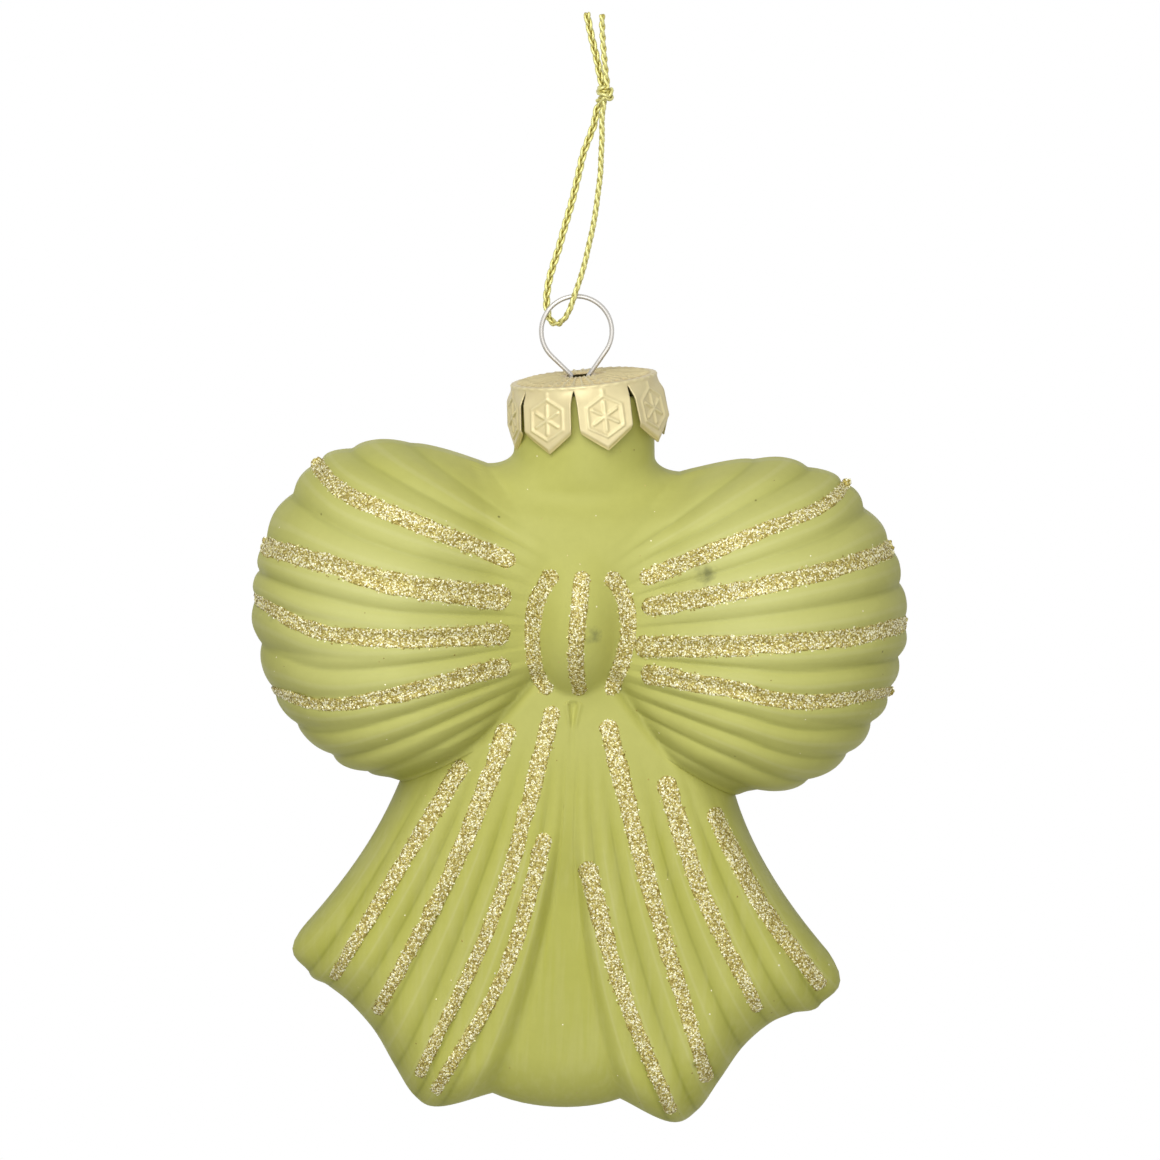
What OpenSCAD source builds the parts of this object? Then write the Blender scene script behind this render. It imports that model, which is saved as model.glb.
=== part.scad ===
// Glitter bow ornament: a hollow moulded glass bow with glitter lines, hung by a crown cap,
// a spring-wire ring and a knotted cord. Millimetres, +Z up, front faces -Y.
// The origin is the hang point, in the top of the cord loop under its knot.
// Places on the bow are measured from the bow centre, which lies straight below the origin.

/* [Bow] */
// Drop from the hang point to the bow centre
drop = 70.5; // [70:0.1:71]
// Half depth of each loop at its fullest
loop_depth = 17.5; // [16:0.1:19]
// Half depth of the tails under the knot
tail_depth = 10.5; // [10:0.1:11]
// Half depth at the front of the knot
knot_depth = 14.6; // [13.5:0.1:15.5]
// Glass wall
wall = 1.3; // [1:0.1:1.6]
// Relief of the moulded pleats and flutes
pleat = 0.42; // [0:0.02:0.6]

/* [Neck and cap] */
// Neck outside diameter at its foot
neck_dia = 18.4; // [18:0.1:18.6]
// Neck bore
bore_dia = 15.2; // [14.6:0.1:15.6]
// Neck rim above the bow centre
neck_top = 33.6; // [33:0.1:33.7]
// Cap disc diameter
cap_dia = 19.1; // [18.9:0.1:19.6]
// Cap sheet thickness
cap_sheet = 0.3; // [0.2:0.05:0.35]
// Cap skirt length to the tab tips
cap_skirt = 8.6; // [7.5:0.1:9]
// Number of cap tabs
cap_tabs = 8; // [6:1:10]
// Lean of the cap on the neck
cap_lean = 7.5; // [0:0.5:7.5]

/* [Hanger] */
// Wire diameter
wire_dia = 0.62; // [0.5:0.02:0.8]
// Mean radius of the ring's round part
ring_radius = 4.6; // [4.4:0.1:4.8]

/* [Cord] */
// Cord diameter
cord_dia = 0.9; // [0.7:0.05:1]
// Knot diameter
knot_dia = 2.4; // [2.2:0.1:3]

/* [Glitter] */
// Height of a glitter line over the glass
bead_height = 0.55; // [0.3:0.05:0.8]
// Width of a loop's glitter line at its wide end
bead_wide = 2.7; // [2:0.1:3]
// Width of a tail's glitter line at its wide end
tail_bead_wide = 2.4; // [2:0.1:3]
// Width of these lines at their narrow end
bead_narrow = 1.6; // [1.2:0.1:2]
// Width of the knot's glitter lines
knot_bead_wide = 1.9; // [1.4:0.1:2.2]

/* [Hidden] */
LINES = ["1", "2", "3", "4"];

glass_green = "#c3c46c";
cap_gold = "#dcc998";
wire_grey = "#c8c6c0";
cord_gold = "#c8b95e";
glitter_gold = "#d3c07c";

// The pleats of a loop fan out from a point behind the other loop
fan = [-12, 1.3];
pleat_period = 5.65;
pleat_phase = 2.7;
crease_angle = -30.6;
valley_angle = 41.7;
// Distance from the fan point to the outline at each angle
loop_rim = [
    [-30.6, 39.9], [-28.9, 40.6], [-26.5, 43.4], [-24, 45.7], [-21, 47.8], [-18, 49.5], [-15, 51.1],
    [-12, 52.1], [-9, 53.2], [-6, 53.8], [-3, 54.4], [0, 55], [6.5, 55.3], [12.8, 54.9], [16, 54.4],
    [19, 53.6], [22, 52.7], [25, 51.6], [28, 49.5], [31, 47], [33.6, 44.4], [37.7, 38.6], [41.7, 32.9]
];
// A loop's section: its fullest angle, its spread, its fullest share of the way out, and its pinch at the hub
loop_middle = 4.5;
loop_spread = 37;
loop_crest = 0.55;
loop_pinch = 0.55;
pinch_power = 1.6;
// Where the pleats rise out of the hub, where they fade into the shoulder, and their run-out at the outline
pleat_rise = [0.05, 0.3];
pleat_fade = [33, 40];
pleat_end = 0.1;
// Hub behind the knot: half width, half depth below and above, and where it fades into the tails
hub_half = 14;
hub_depth = [10.9, 10];
hub_climb = 22;
hub_fade = [6, 20];
// Knot: height of its centre, half width and half height, and how square and full it is
knot_mid = 3.3;
knot_half = [7, 8.7];
knot_square = 2.4;
knot_full = 0.4;
// Mesh lines of the shoulder under the neck: start on the axis, end on the outline
shoulder = [
    [[0, 24], [3, 26.2]], [[0, 21.5], [6, 26]], [[0, 19], [8.2, 25.2]],
    [[0, 16.5], [9.6, 24.2]], [[0, 14], [11.2, 23.4]]
];
shoulder_top = 26.2;
shoulder_reach = 9;
// Softness of the joins: loop to hub, tail to hub, knot to all
hub_soft = 5;
tail_soft = 1.2;
knot_soft = 1;

// Flute lines of a tail, from the web out to the edge: at the crease, at mid height and at the foot
flutes = 8;
flute_pitch = 3.2;
flute_top = [1.5, 2.3, 3.4, 5.2, 8.4, 11.5, 14.4, 18, 22.3];
flute_mid = [1.4, 4.6, 8.1, 11.6, 15.1, 18.9, 22.2, 25.5, 28.5];
flute_foot = [
    [8.4, -59.8], [15.4, -61.9], [18.6, -60.6], [21.3, -56.8], [24.2, -52.2],
    [27.6, -48.9], [30.6, -47.2], [34.6, -45.3], [36.5, -41.2]
];
corner_round = [0.7, -0.4];
mid_z = -31.3;
// The plain web between the tails: its foot, how far it lies back, and over which heights it steps back
web_foot = -61.3;
web_step = 1.1;
web_range = [22, 34];
web_edge = 0.7;
// Share of the full depth at each height, the rounding of the side and of the foot, and where the flutes rise
tail_taper = [[-62, 0.78], [-45, 0.86], [-30, 0.92], [-12, 1], [0, 1]];
side_round = 5;
foot_round = 6;
foot_slope = 0.8;
flute_rise = [6, 20];
tail_start = [-4, 2];

// Samples of the outside and of the cavity
out_turns = [for (i = [13:-1:-11]) pleat_phase + i * pleat_period / 2];
in_turns = [for (i = [13:-2:-11]) pleat_phase + i * pleat_period / 2];
out_along = [0, 0.08, 0.16, 0.25, 0.36, 0.48, 0.6, 0.71, 0.8, 0.87, 0.925, 0.965, 0.99, 1];
in_along = [0, 0.15, 0.35, 0.55, 0.75, 0.9, 0.97, 1];
out_across = concat([-1, -0.5], [for (i = [0:15]) i / 2], [7.75, 7.92, 8]);
in_across = [-1, 0, 1.5, 3, 4.5, 6, 7, 7.7, 8];
out_down = [0, 0.06, 0.14, 0.24, 0.35, 0.47, 0.58, 0.68, 0.77, 0.85, 0.92, 0.97, 1];
in_down = [0, 0.15, 0.35, 0.55, 0.75, 0.9, 0.97, 1];
least_h = 0.15;

// Neck: where it starts inside the bow, where its taper starts, its taper, and the bore's foot
neck_start = 20;
neck_shoulder = 26.5;
neck_taper = 0.5;
bore_foot = 14;

// Cap: its lean's pivot, the disc above it, the flare, the rolled edge, the front gap's turn and the slot
lean_pivot = 31.2;
lean_arm = 4;
cap_flare = 0.8;
cap_roll = 0.4;
gap_turn = -7;
tab_gap = [[-0.2, -1.8], [0.2, -1.8], [0.7, -6.1], [3.9, -8.9], [-3.9, -8.9], [-0.7, -6.1]];
slot = [3.6, 1.5];
slot_shift = -0.5;

// Hanger: the centre of its round part, the legs from where they enter the slot,
// the swell of the wire at a bend, and how far inside that swell a straight length starts
ring_centre = [-1.7, 41.2];
leg_left = [[-2.2, 35.5], [-2.3, 31], [-5.6, 20.5]];
leg_right = [[-0.2, 35.6], [0.2, 31], [5.2, 20.5]];
bend_swell = 1.06;
rod_inset = 0.04;

// Cord: from the knot down behind the ring's wire, under it and up again in front
cord_sides = 8;
loop_route = [
    [0.5, 0.6, 72], [-0.3, 0.7, 70.2], [-0.6, 0.75, 68.3], [-1.2, 0.85, 66.4], [-1.8, 0.9, 64.5],
    [-2.2, 1, 62.4], [-2.6, 1.05, 60.3], [-3, 1.1, 58.2], [-3.5, 1.2, 56.1], [-4, 1.25, 54],
    [-4.5, 1.3, 51.8], [-5.1, 1.4, 49.6], [-5.6, 1.45, 47.4], [-5.8, 1.4, 45.2], [-5.6, 1.3, 43.5],
    [-5.3, 1, 42.6], [-4.7, 0.5, 42.1], [-4, -0.2, 42.2], [-3.4, -0.7, 42.8], [-2.9, -1, 43.7],
    [-2.5, -1.15, 44.8], [-2.1, -1.2, 46.3], [-1.5, -1.15, 48.3], [-1, -1.1, 50.4], [-0.6, -1.05, 52.6],
    [-0.2, -1, 54.8], [0.1, -0.95, 57.1], [0.3, -0.9, 59.4], [0.5, -0.85, 62], [0.5, -0.8, 64.6],
    [0.5, -0.75, 67], [0.4, -0.7, 69.4], [0.7, -0.6, 72]
];
knot_centre = [0.8, 0, 72.8];
tail_left_route = [
    [0.3, 0.4, 73.4], [-0.1, 0.4, 74.7], [-0.6, 0.4, 76.8], [-1.5, 0.4, 80], [-2.3, 0.3, 83.4]
];
tail_right_route = [
    [0.9, -0.4, 73.4], [0.7, -0.4, 74.7], [0.4, -0.4, 76.8], [0, -0.3, 80], [-0.3, -0.3, 83.4]
];
// A direction that the cord never runs along, to hold its rings upright
cord_guide = [0.8, 0.6, 0.1];

// Glitter lines as they show from the front, from the wide end to the narrow one
left_loop_lines = [
    [[-8.9, 10.7], [-24, 16], [-31.4, 19], [-34, 21]],
    [[-9.7, 5.8], [-23.6, 7], [-33, 9.3], [-41, 11.2]],
    [[-9.5, 1.2], [-23.3, -0.1], [-33.9, 0.5], [-41.5, 3.2]],
    [[-9.3, -3.2], [-23, -7.4], [-32.2, -9.2], [-38.3, -8]]
];
right_loop_lines = [
    [[8.5, 9.1], [23.7, 16.1], [31.5, 19.8], [33.8, 22]],
    [[8.6, 5.3], [24, 8.9], [35.7, 12.4], [40.3, 14.4]],
    [[8.5, 0.2], [24.3, 1.2], [36.2, 2.8], [42, 4.4]],
    [[9.3, -3.3], [20.6, -4.9], [29.9, -6.1], [40.4, -4.8]]
];
knot_lines = [
    [[-3.1, 9.6], [-5.3, 5.7], [-5.7, 0.7], [-4.9, -3.7], [-3.2, -6.6]],
    [[0.5, 9.8], [0.2, 4.4], [0, -0.8], [0.8, -6.6]],
    [[3.7, 9.6], [5.8, 7], [6.6, 3.6], [6.5, -0.1], [5.4, -4.3], [4.4, -6.3]]
];
left_tail_lines = [
    [[-14.2, -16.6], [-22, -30.9], [-29.9, -45.5]],
    [[-8.5, -11.5], [-14.7, -29.9], [-24, -49.8]],
    [[-2.7, -8.9], [-8.6, -34.3], [-18.1, -57.9]],
    [[-3, -25.8], [-7.5, -43.5], [-16, -60]]
];
right_tail_lines = [
    [[4.6, -10.5], [11.2, -32.1], [19.8, -56.9]],
    [[12.5, -17.5], [17.8, -31.8], [26, -47.3]],
    [[18.9, -21.4], [25.8, -33.4], [34.3, -43.9]],
    [[2.8, -29.5], [7.8, -44.8], [14.9, -60.6]]
];
bead_depth = 0.35;
bead_sides = 8;
bead_rings = 14;
bead_tip = 0.4;
// A line is seen from a little above, so its place is raised by this share of its depth
look_down = 0.13;
slope_step = 0.6;

function lerp(a, b, t) = a + (b - a) * t;
function ease(a, b, x) = let (t = min(1, max(0, (x - a) / (b - a)))) t * t * (3 - 2 * t);
function ramp(range, x) = ease(range[0], range[1], x);
function blend(a, b, k) = let (h = max(k - abs(a - b), 0) / k) max(a, b) + h * h * k / 4;
function edge(d, r) = d <= 0 ? 0 : d >= r ? 1 : sqrt(1 - pow(1 - d / r, 2));
function unit(v) = v / norm(v);
// A smooth curve through a list of points, for t from 0 to 1
function spline(list, t) =
    let (n = len(list) - 1, i = min(floor(t * n), n - 1), u = t * n - i,
         b = list[i], c = list[i + 1], a = i > 0 ? list[i - 1] : 2 * b - c,
         d = i < n - 1 ? list[i + 2] : 2 * c - b)
    b + u * ((c - a) + u * ((2 * a - 5 * b + 4 * c - d) + u * (3 * b - a - 3 * c + d))) / 2;
function at(list, k) = spline(list, k / (len(list) - 1));

// Half depth of a loop at a fan angle and a share of the way out, set in by w for the cavity
function ridge(turn) = abs(sin(180 * (turn - pleat_phase) / pleat_period)) - 0.5;
function rim(turn, w) = lookup(turn, loop_rim) - w + (w > 0 ? 0 : pleat * ridge(turn));
function loop_h(turn, s, w) =
    let (full = (loop_depth - w) * sqrt(max(0.01, 1 - pow((turn - loop_middle) / loop_spread, 2))),
         along = s > loop_crest ? sqrt(max(0, 1 - pow((s - loop_crest) / (1 - loop_crest), 2)))
                                : 1 - loop_pinch * pow(1 - s / loop_crest, pinch_power),
         fade = ramp(pleat_rise, s) * (1 - ramp(pleat_fade, turn)) * min(1, (1 - s) / pleat_end))
    full * along + (w > 0 ? 0 : pleat * ridge(turn) * fade);

// Half depth of the hub and of the knot
function hub_h(x, z, w) =
    let (q = 1 - pow(x / (hub_half - w), 2), depth = lerp(hub_depth[0], hub_depth[1], ease(0, hub_climb, z)))
    q <= 0 ? 0 : (depth - w) * sqrt(q) * (1 - ramp(hub_fade, -z));
function knot_h(x, z, w) =
    let (q = 1 - pow(abs(x) / knot_half[0], knot_square) - pow(abs(z - knot_mid) / knot_half[1], knot_square))
    q <= 0 ? 0 : (knot_depth - w) * pow(q, knot_full);

// A tail: the place of each flute line, and the half depth at a flute number and height
function crease_z(x) = fan[1] + (x - fan[0]) * tan(crease_angle);
function foot_at(k) = at(flute_foot, k) + sin(180 * max(0, k - flutes + 1)) * corner_round;
function foot_z(k) = k < 0 ? lerp(web_foot, flute_foot[0][1], pow(k + 1, 2)) : foot_at(k)[1];
function flute_x(k, z) =
    let (xt = at(flute_top, k), zt = crease_z(xt), xm = at(flute_mid, k), f = foot_at(k))
    xt * (z - mid_z) * (z - f[1]) / ((zt - mid_z) * (zt - f[1]))
    + xm * (z - zt) * (z - f[1]) / ((mid_z - zt) * (mid_z - f[1]))
    + f[0] * (z - zt) * (z - mid_z) / ((f[1] - zt) * (f[1] - mid_z));
function tail_x(k, z) = k < 0 ? (k + 1) * flute_x(0, z) : flute_x(k, z);
function flute_of(x, z) =
    let (xs = [for (k = [0:flutes]) flute_x(k, z)],
         below = len([for (v = xs) if (v <= x) v]))
    below == 0 ? x / xs[0] - 1
    : below > flutes ? flutes + (x - xs[flutes]) / flute_pitch
    : below - 1 + (x - xs[below - 1]) / (xs[below] - xs[below - 1]);
function tail_h(k, z, w) =
    let (full = tail_depth * lookup(z, tail_taper) - w,
         step = web_step * ramp(web_range, -z) * (k < 0 ? 1 : 1 - ease(0, web_edge, k)),
         relief = w > 0 || k < 0 ? 0 : pleat * (abs(sin(180 * k)) - 0.5) * ramp(flute_rise, -z),
         side = edge((flutes - k) * flute_pitch - w, side_round),
         foot = edge((z - foot_z(k)) * foot_slope - w, foot_round))
    (full - step + relief) * side * foot * (1 - ramp(tail_start, z));

// Half depth of the whole bow at any place
function turn_of(x, z) = atan2(z - fan[1], x - fan[0]);
function share_of(x, z, w) =
    let (t = turn_of(x, z), start = -fan[0] / cos(t))
    min(1, (norm([x - fan[0], z - fan[1]]) - start) / (rim(t, w) - start));
function upper_h(x, z, s, w) =
    let (l = loop_h(turn_of(x, z), s, w),
         b = hub_h(x, z, w) * sqrt(max(0, 1 - pow(s, 6))),
         t = z < tail_start[1] ? tail_h(flute_of(x, z), z, w) : 0)
    blend(blend(blend(l, b, hub_soft), t, tail_soft), knot_h(x, z, w), knot_soft);
function lower_h(x, z, k, w) =
    blend(blend(tail_h(k, z, w), hub_h(x, z, w), tail_soft), knot_h(x, z, w), knot_soft);
function front_h(x, z) =
    turn_of(abs(x), z) >= crease_angle ? upper_h(abs(x), z, share_of(abs(x), z, 0), 0)
                                       : lower_h(abs(x), z, flute_of(abs(x), z), 0);

// One quarter of the shell: mesh lines from the axis to the outline, then the tail's grid
function upper_line(a, o, along, w) =
    [for (s = along)
        let (p = lerp(a, o, s), h = max(least_h, upper_h(p[0], p[1], s, w)))
        [p[0], s == 1 ? 0 : -h, p[1]]];
function fan_line(turn, along, w) =
    upper_line([0, fan[1] - fan[0] * tan(turn)], fan + rim(turn, w) * [cos(turn), sin(turn)], along, w);
function shoulder_line(l, along, w) =
    upper_line(l[0], [l[1][0] * (1 - w / shoulder_reach), l[1][1] - w], along, w);
function inner_flute(k, w) = k == flutes ? flutes - w / flute_pitch : k;
function tail_point(k, v, last, w) =
    let (f = inner_flute(k, w),
         zt = f < 0 ? crease_z((f + 1) * flute_top[0]) : crease_z(at(flute_top, f)),
         z = lerp(zt, foot_z(f) + w / foot_slope, v),
         x = tail_x(f, z),
         h = v == 0 ? upper_h(x, z, share_of(x, z, w), w) : lower_h(x, z, f, w))
    [x, last ? 0 : -max(least_h, h), z];
function rank(list, value) = len([for (m = list) if (m < value) m]);
function middles(list) = [for (i = [0:len(list) - 2]) (list[i] + list[i + 1]) / 2];
function quarter(turns, along, across, down, w) =
    let (lines = concat([for (l = shoulder) shoulder_line(l, along, w)],
                        [for (t = concat([valley_angle], turns)) fan_line(t, along, w)]),
         n = len(along), m = len(lines), c = len(across), r = len(down),
         grid = [for (v = down) [for (k = across) tail_point(k, v, k == flutes || v == 1, w)]],
         low = m * n, apex = low + r * c,
         xa = middles([for (p = lines[m - 1]) p[0]]), xb = middles([for (p = grid[0]) p[0]]))
    [concat([for (l = lines, p = l) p], [for (row = grid, p = row) p], [[0, 0, shoulder_top - w]]),
     concat(
        [for (j = [0:n - 2]) [apex, j + 1, j]],
        [for (i = [0:m - 2], j = [0:n - 2], t = [0, 1])
            let (p = i * n + j) t == 0 ? [p, p + 1, p + n + 1] : [p, p + n + 1, p + n]],
        [for (j = [0:n - 2]) [low - n + j, low - n + j + 1, low + rank(xb, xa[j])]],
        [for (j = [0:c - 2]) [low + j + 1, low + j, low - n + rank(xa, xb[j])]],
        [for (i = [0:r - 2], j = [0:c - 2], t = [0, 1])
            let (p = low + i * c + j) t == 0 ? [p, p + 1, p + c + 1] : [p, p + c + 1, p + c]])];
function turned(faces, offset, flip) =
    [for (f = faces) [for (i = flip ? [2, 1, 0] : [0, 1, 2]) f[i] + offset]];

// The whole bow's skin: the quarter and its three mirror images
module shell(turns, along, across, down, w) {
    q = quarter(turns, along, across, down, w);
    n = len(q[0]);
    polyhedron(
        [for (sx = [1, -1], sy = [1, -1], p = q[0]) [sx * p[0], sy * p[1], p[2]]],
        [for (i = [0:3], f = turned(q[1], i * n, i == 1 || i == 2)) f]);
}

module glass_bow() {
    foot_r = neck_dia / 2;
    rim_r = foot_r - neck_taper;
    color(glass_green) translate([0, 0, -drop]) difference() {
        union() {
            shell(out_turns, out_along, out_across, out_down, 0);
            rotate_extrude($fn = 72) polygon([
                [0, neck_start], [foot_r, neck_start], [foot_r, neck_shoulder],
                [rim_r, neck_top], [0, neck_top]
            ]);
        }
        shell(in_turns, in_along, in_across, in_down, wall);
        translate([0, 0, bore_foot]) cylinder(d = bore_dia, h = neck_top, $fn = 72);
    }
}

// Thin gold cap with pointed tabs, leaning on the neck
module crown_cap() {
    r = cap_dia / 2;
    low = r + cap_flare;
    bend = cap_roll + cap_sheet / 3;
    color(cap_gold) translate([0, 0, lean_pivot - drop]) rotate([0, -cap_lean, 0]) translate([0, 0, lean_arm])
        difference() {
            rotate_extrude($fn = 72) polygon([
                [0, 0], [r - cap_roll, 0], [r, -cap_roll], [low, -cap_skirt], [low - cap_sheet, -cap_skirt],
                [r - cap_sheet, -bend], [r - bend, -cap_sheet], [0, -cap_sheet]
            ]);
            for (i = [0:cap_tabs - 1])
                rotate([0, 0, gap_turn + i * 360 / cap_tabs]) translate([0, -r / 2, 0])
                    rotate([90, 0, 0]) linear_extrude(r) polygon(tab_gap);
            translate([slot_shift - slot[0] / 2, -slot[1] / 2, -1]) cube([slot[0], slot[1], 2]);
        }
}

// Spring wire: a pear-shaped ring whose two legs spread inside the neck
module rod(p, q, d) {
    v = q - p;
    translate(p) rotate([0, acos(v[2] / norm(v)), atan2(v[1], v[0])]) translate([0, 0, rod_inset])
        cylinder(d = d, h = norm(v) - 2 * rod_inset, $fn = 24);
}
module leg(points) {
    places = [for (p = points) [p[0], 0, p[1]]];
    for (p = places) translate(p) sphere(d = wire_dia * bend_swell, $fn = 24);
    for (i = [0:len(places) - 2]) rod(places[i], places[i + 1], wire_dia);
}
// The turn of the round part's edge where a straight leg from p meets it
function tangent_turn(p, side) =
    let (v = p - ring_centre) atan2(v[1], v[0]) + side * acos(ring_radius / norm(v));
module wire_hanger() {
    first = tangent_turn(leg_right[0], 1);
    last = tangent_turn(leg_left[0], -1) + 360;
    ends = [for (t = [last, first]) ring_centre + ring_radius * [cos(t), sin(t)]];
    color(wire_grey) translate([0, 0, -drop]) {
        translate([ring_centre[0], 0, ring_centre[1]]) rotate([90, 0, 0]) rotate([0, 0, first])
            rotate_extrude(angle = last - first, $fn = 72)
            translate([ring_radius, 0]) circle(d = wire_dia, $fn = 24);
        leg(concat([ends[0]], leg_left));
        leg(concat([ends[1]], leg_right));
    }
}

// A closed skin over rings of points that turn the same way about their route
function run(route, i) = unit(route[min(i + 1, len(route) - 1)] - route[max(i - 1, 0)]);
module skin(points, rings, sides) {
    end = (rings - 1) * sides;
    polyhedron(points, concat(
        [for (i = [0:rings - 2], k = [0:sides - 1], t = [0, 1])
            let (p = i * sides + k, q = i * sides + (k + 1) % sides)
            t == 0 ? [q, p, p + sides] : [q, p + sides, q + sides]],
        [for (k = [1:sides - 2]) [0, k, k + 1]],
        [for (k = [1:sides - 2]) [end, end + k + 1, end + k]]));
}

// The cord: a tube along a route
module tube(route) {
    points = [for (i = [0:len(route) - 1])
        let (t = run(route, i), a = unit(cross(t, cord_guide)), b = cross(t, a))
        for (k = [0:cord_sides - 1])
            let (u = 360 * k / cord_sides) route[i] + cord_dia / 2 * (cos(u) * a + sin(u) * b)];
    color(cord_gold) translate([0, 0, -drop]) skin(points, len(route), cord_sides);
}
module cord_loop() { tube(loop_route); }
module cord_knot() {
    color(cord_gold) translate(knot_centre - [0, 0, drop]) sphere(d = knot_dia, $fn = 32);
}
module cord_tail_left() { tube(tail_left_route); }
module cord_tail_right() { tube(tail_right_route); }

// A glitter line: a rounded strip that follows the front of the glass
function lifted(p) =
    let (near = front_h(p[0], p[1]), h = front_h(p[0], p[1] + look_down * near))
    [p[0], p[1] + look_down * h];
function seat(p) = [p[0], -front_h(p[0], p[1]), p[1]];
function normal_at(p) =
    let (e = slope_step,
         hx = (front_h(p[0] + e, p[1]) - front_h(p[0] - e, p[1])) / (2 * e),
         hz = (front_h(p[0], p[1] + e) - front_h(p[0], p[1] - e)) / (2 * e))
    -unit([hx, 1, hz]);
module glitter(line, wide, narrow) {
    n = bead_rings;
    places = [for (i = [0:n - 1]) lifted(spline(line, i / (n - 1)))];
    route = [for (p = places) seat(p)];
    points = [for (i = [0:n - 1])
        let (up = normal_at(places[i]),
             side = unit(cross(up, run(route, i))),
             end = i == 0 || i == n - 1 ? bead_tip : 1,
             half = end * lerp(wide, narrow, i / (n - 1)) / 2)
        for (k = [0:bead_sides - 1])
            let (u = 360 * k / bead_sides, rise = sin(u) > 0 ? bead_height * end : bead_depth)
            route[i] + half * cos(u) * side + rise * sin(u) * up];
    color(glitter_gold) translate([0, 0, -drop]) skin(points, n, bead_sides);
}
module loop_glitter(line) { glitter(line, bead_wide, bead_narrow); }
module tail_glitter(line) { glitter(line, tail_bead_wide, bead_narrow); }
module knot_glitter(line) { glitter(line, knot_bead_wide, knot_bead_wide); }

glass_bow();
crown_cap();
wire_hanger();
cord_loop();
cord_knot();
cord_tail_left();
cord_tail_right();
for (i = [0:len(LINES) - 1]) {
    loop_glitter(left_loop_lines[i]);
    loop_glitter(right_loop_lines[i]);
    tail_glitter(left_tail_lines[i]);
    tail_glitter(right_tail_lines[i]);
}
knot_glitter(knot_lines[0]);  // glitter_knot_left
knot_glitter(knot_lines[1]);  // glitter_knot_centre
knot_glitter(knot_lines[2]);  // glitter_knot_right
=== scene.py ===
"""Glitter bow ornament: the finished look of a hanging glass bow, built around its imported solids."""

import math
from collections import namedtuple
from functools import partial

import bmesh
import bpy
import numpy as np
from bpy.props import FloatProperty, FloatVectorProperty, IntProperty, PointerProperty
from mathutils import Matrix, Vector


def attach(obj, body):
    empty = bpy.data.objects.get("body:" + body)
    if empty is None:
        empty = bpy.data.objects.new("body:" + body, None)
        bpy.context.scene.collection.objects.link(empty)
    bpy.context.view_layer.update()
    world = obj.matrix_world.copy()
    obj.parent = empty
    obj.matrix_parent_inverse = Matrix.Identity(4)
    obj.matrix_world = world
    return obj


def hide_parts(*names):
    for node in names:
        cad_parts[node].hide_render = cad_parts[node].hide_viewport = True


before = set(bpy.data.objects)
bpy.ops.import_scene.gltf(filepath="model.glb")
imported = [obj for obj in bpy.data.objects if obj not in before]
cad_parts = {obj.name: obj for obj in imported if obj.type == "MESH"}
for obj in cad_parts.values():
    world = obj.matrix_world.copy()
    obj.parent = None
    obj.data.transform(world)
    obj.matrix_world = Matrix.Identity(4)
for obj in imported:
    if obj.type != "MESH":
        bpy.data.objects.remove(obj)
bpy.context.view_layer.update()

bl_info = {
    "name": "Glitter Bow Ornament",
    "version": (1, 0, 0),
    "blender": (4, 5, 0),
    "location": "View3D > Sidebar > Bow",
    "description": "Builds a lacquered glass bow with glitter lines, a crown cap, a wire ring and a cord",
    "category": "Add Mesh",
}

# Shape tables are in millimetres from the bow centre, which hangs this far under the origin
MM = 0.001
DROP = 70.5
# The photograph looks down a little, so what lies in front shows lower by this share of its depth
LOOK_DOWN = 0.13
LIFT_ROUNDS = 4

# Loops: the point that their pleats fan out from, and the reach of the outline at each angle
FAN = (-12, 1.3)
CREASE_ANGLE = -30.6
VALLEY_ANGLE = 41.7
PLEAT_PERIOD = 5
LOOP_RIM = [
    (-30.6, 39.9), (-28.9, 40.6), (-26.5, 43.4), (-24, 45.7), (-21, 47.8), (-18, 49.5), (-15, 51.1),
    (-12, 52.1), (-9, 53.2), (-6, 53.8), (-3, 54.4), (0, 55), (6.5, 55.3), (12.8, 54.9), (16, 54.4),
    (19, 53.6), (22, 52.7), (25, 51.6), (28, 49.5), (31, 47), (33.6, 44.4), (37.7, 38.6), (41.7, 32.9),
]
# What each side's outline has more than the common one
RIGHT_TRIM = [(-30.6, -0.85), (-26, -0.4), (-10, -0.4), (10, -0.4), (24, -0.8), (31, -0.7), (41.7, 0)]
LEFT_TRIM = [
    (-30.6, 0), (-27, -0.4), (-22, -0.8), (-10, -0.9), (10, -0.9), (22, -0.7), (32, -0.4), (41.7, 0),
]
# Half depth of a loop, the turn where it is fullest, and how it falls off above and below that
LOOP_DEPTH = 17.5
LOOP_MIDDLE = 4.5
LOOP_SPREAD = (37, 39)
LOOP_SQUARE = (2, 3)
LOOP_LEAST = 0.01
# Fullest share and pinch at the gather, in a loop's middle and towards its foot
LOOP_CREST = (0.55, 0.62)
LOOP_PINCH = (0.68, 0.92)
LOOP_FOOT = (-8, -26)
PINCH_POWER = 1.4
# Where the pleats rise from the gather, end at the rim and fade into the shoulder, and their section
PLEAT_RISE = (0.12, 0.38)
PLEAT_END = 0.1
PLEAT_FADE = (34, 41)
GROOVE_ROUND = 0.1
CREST_POWER = 0.75
# A pleat follows its glitter line, which is drawn on past both ends by this many of its points
GUIDE_POINTS = 25
GUIDE_REACH = 6
# Mix of ridge and groove colour where loops and tails are smooth, and the hollow at the waist, painted
# with the darker groove colour as its shade
LOOP_TONE = 0.75
TAIL_TONE = 0.65
TAIL_TONE_EDGE = 0.5
HOLLOW_SHARE = (0.09, 0.17)
HOLLOW_RISE = (2, 7.5)
HOLLOW_EDGE = (0.4, 1.6)

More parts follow.
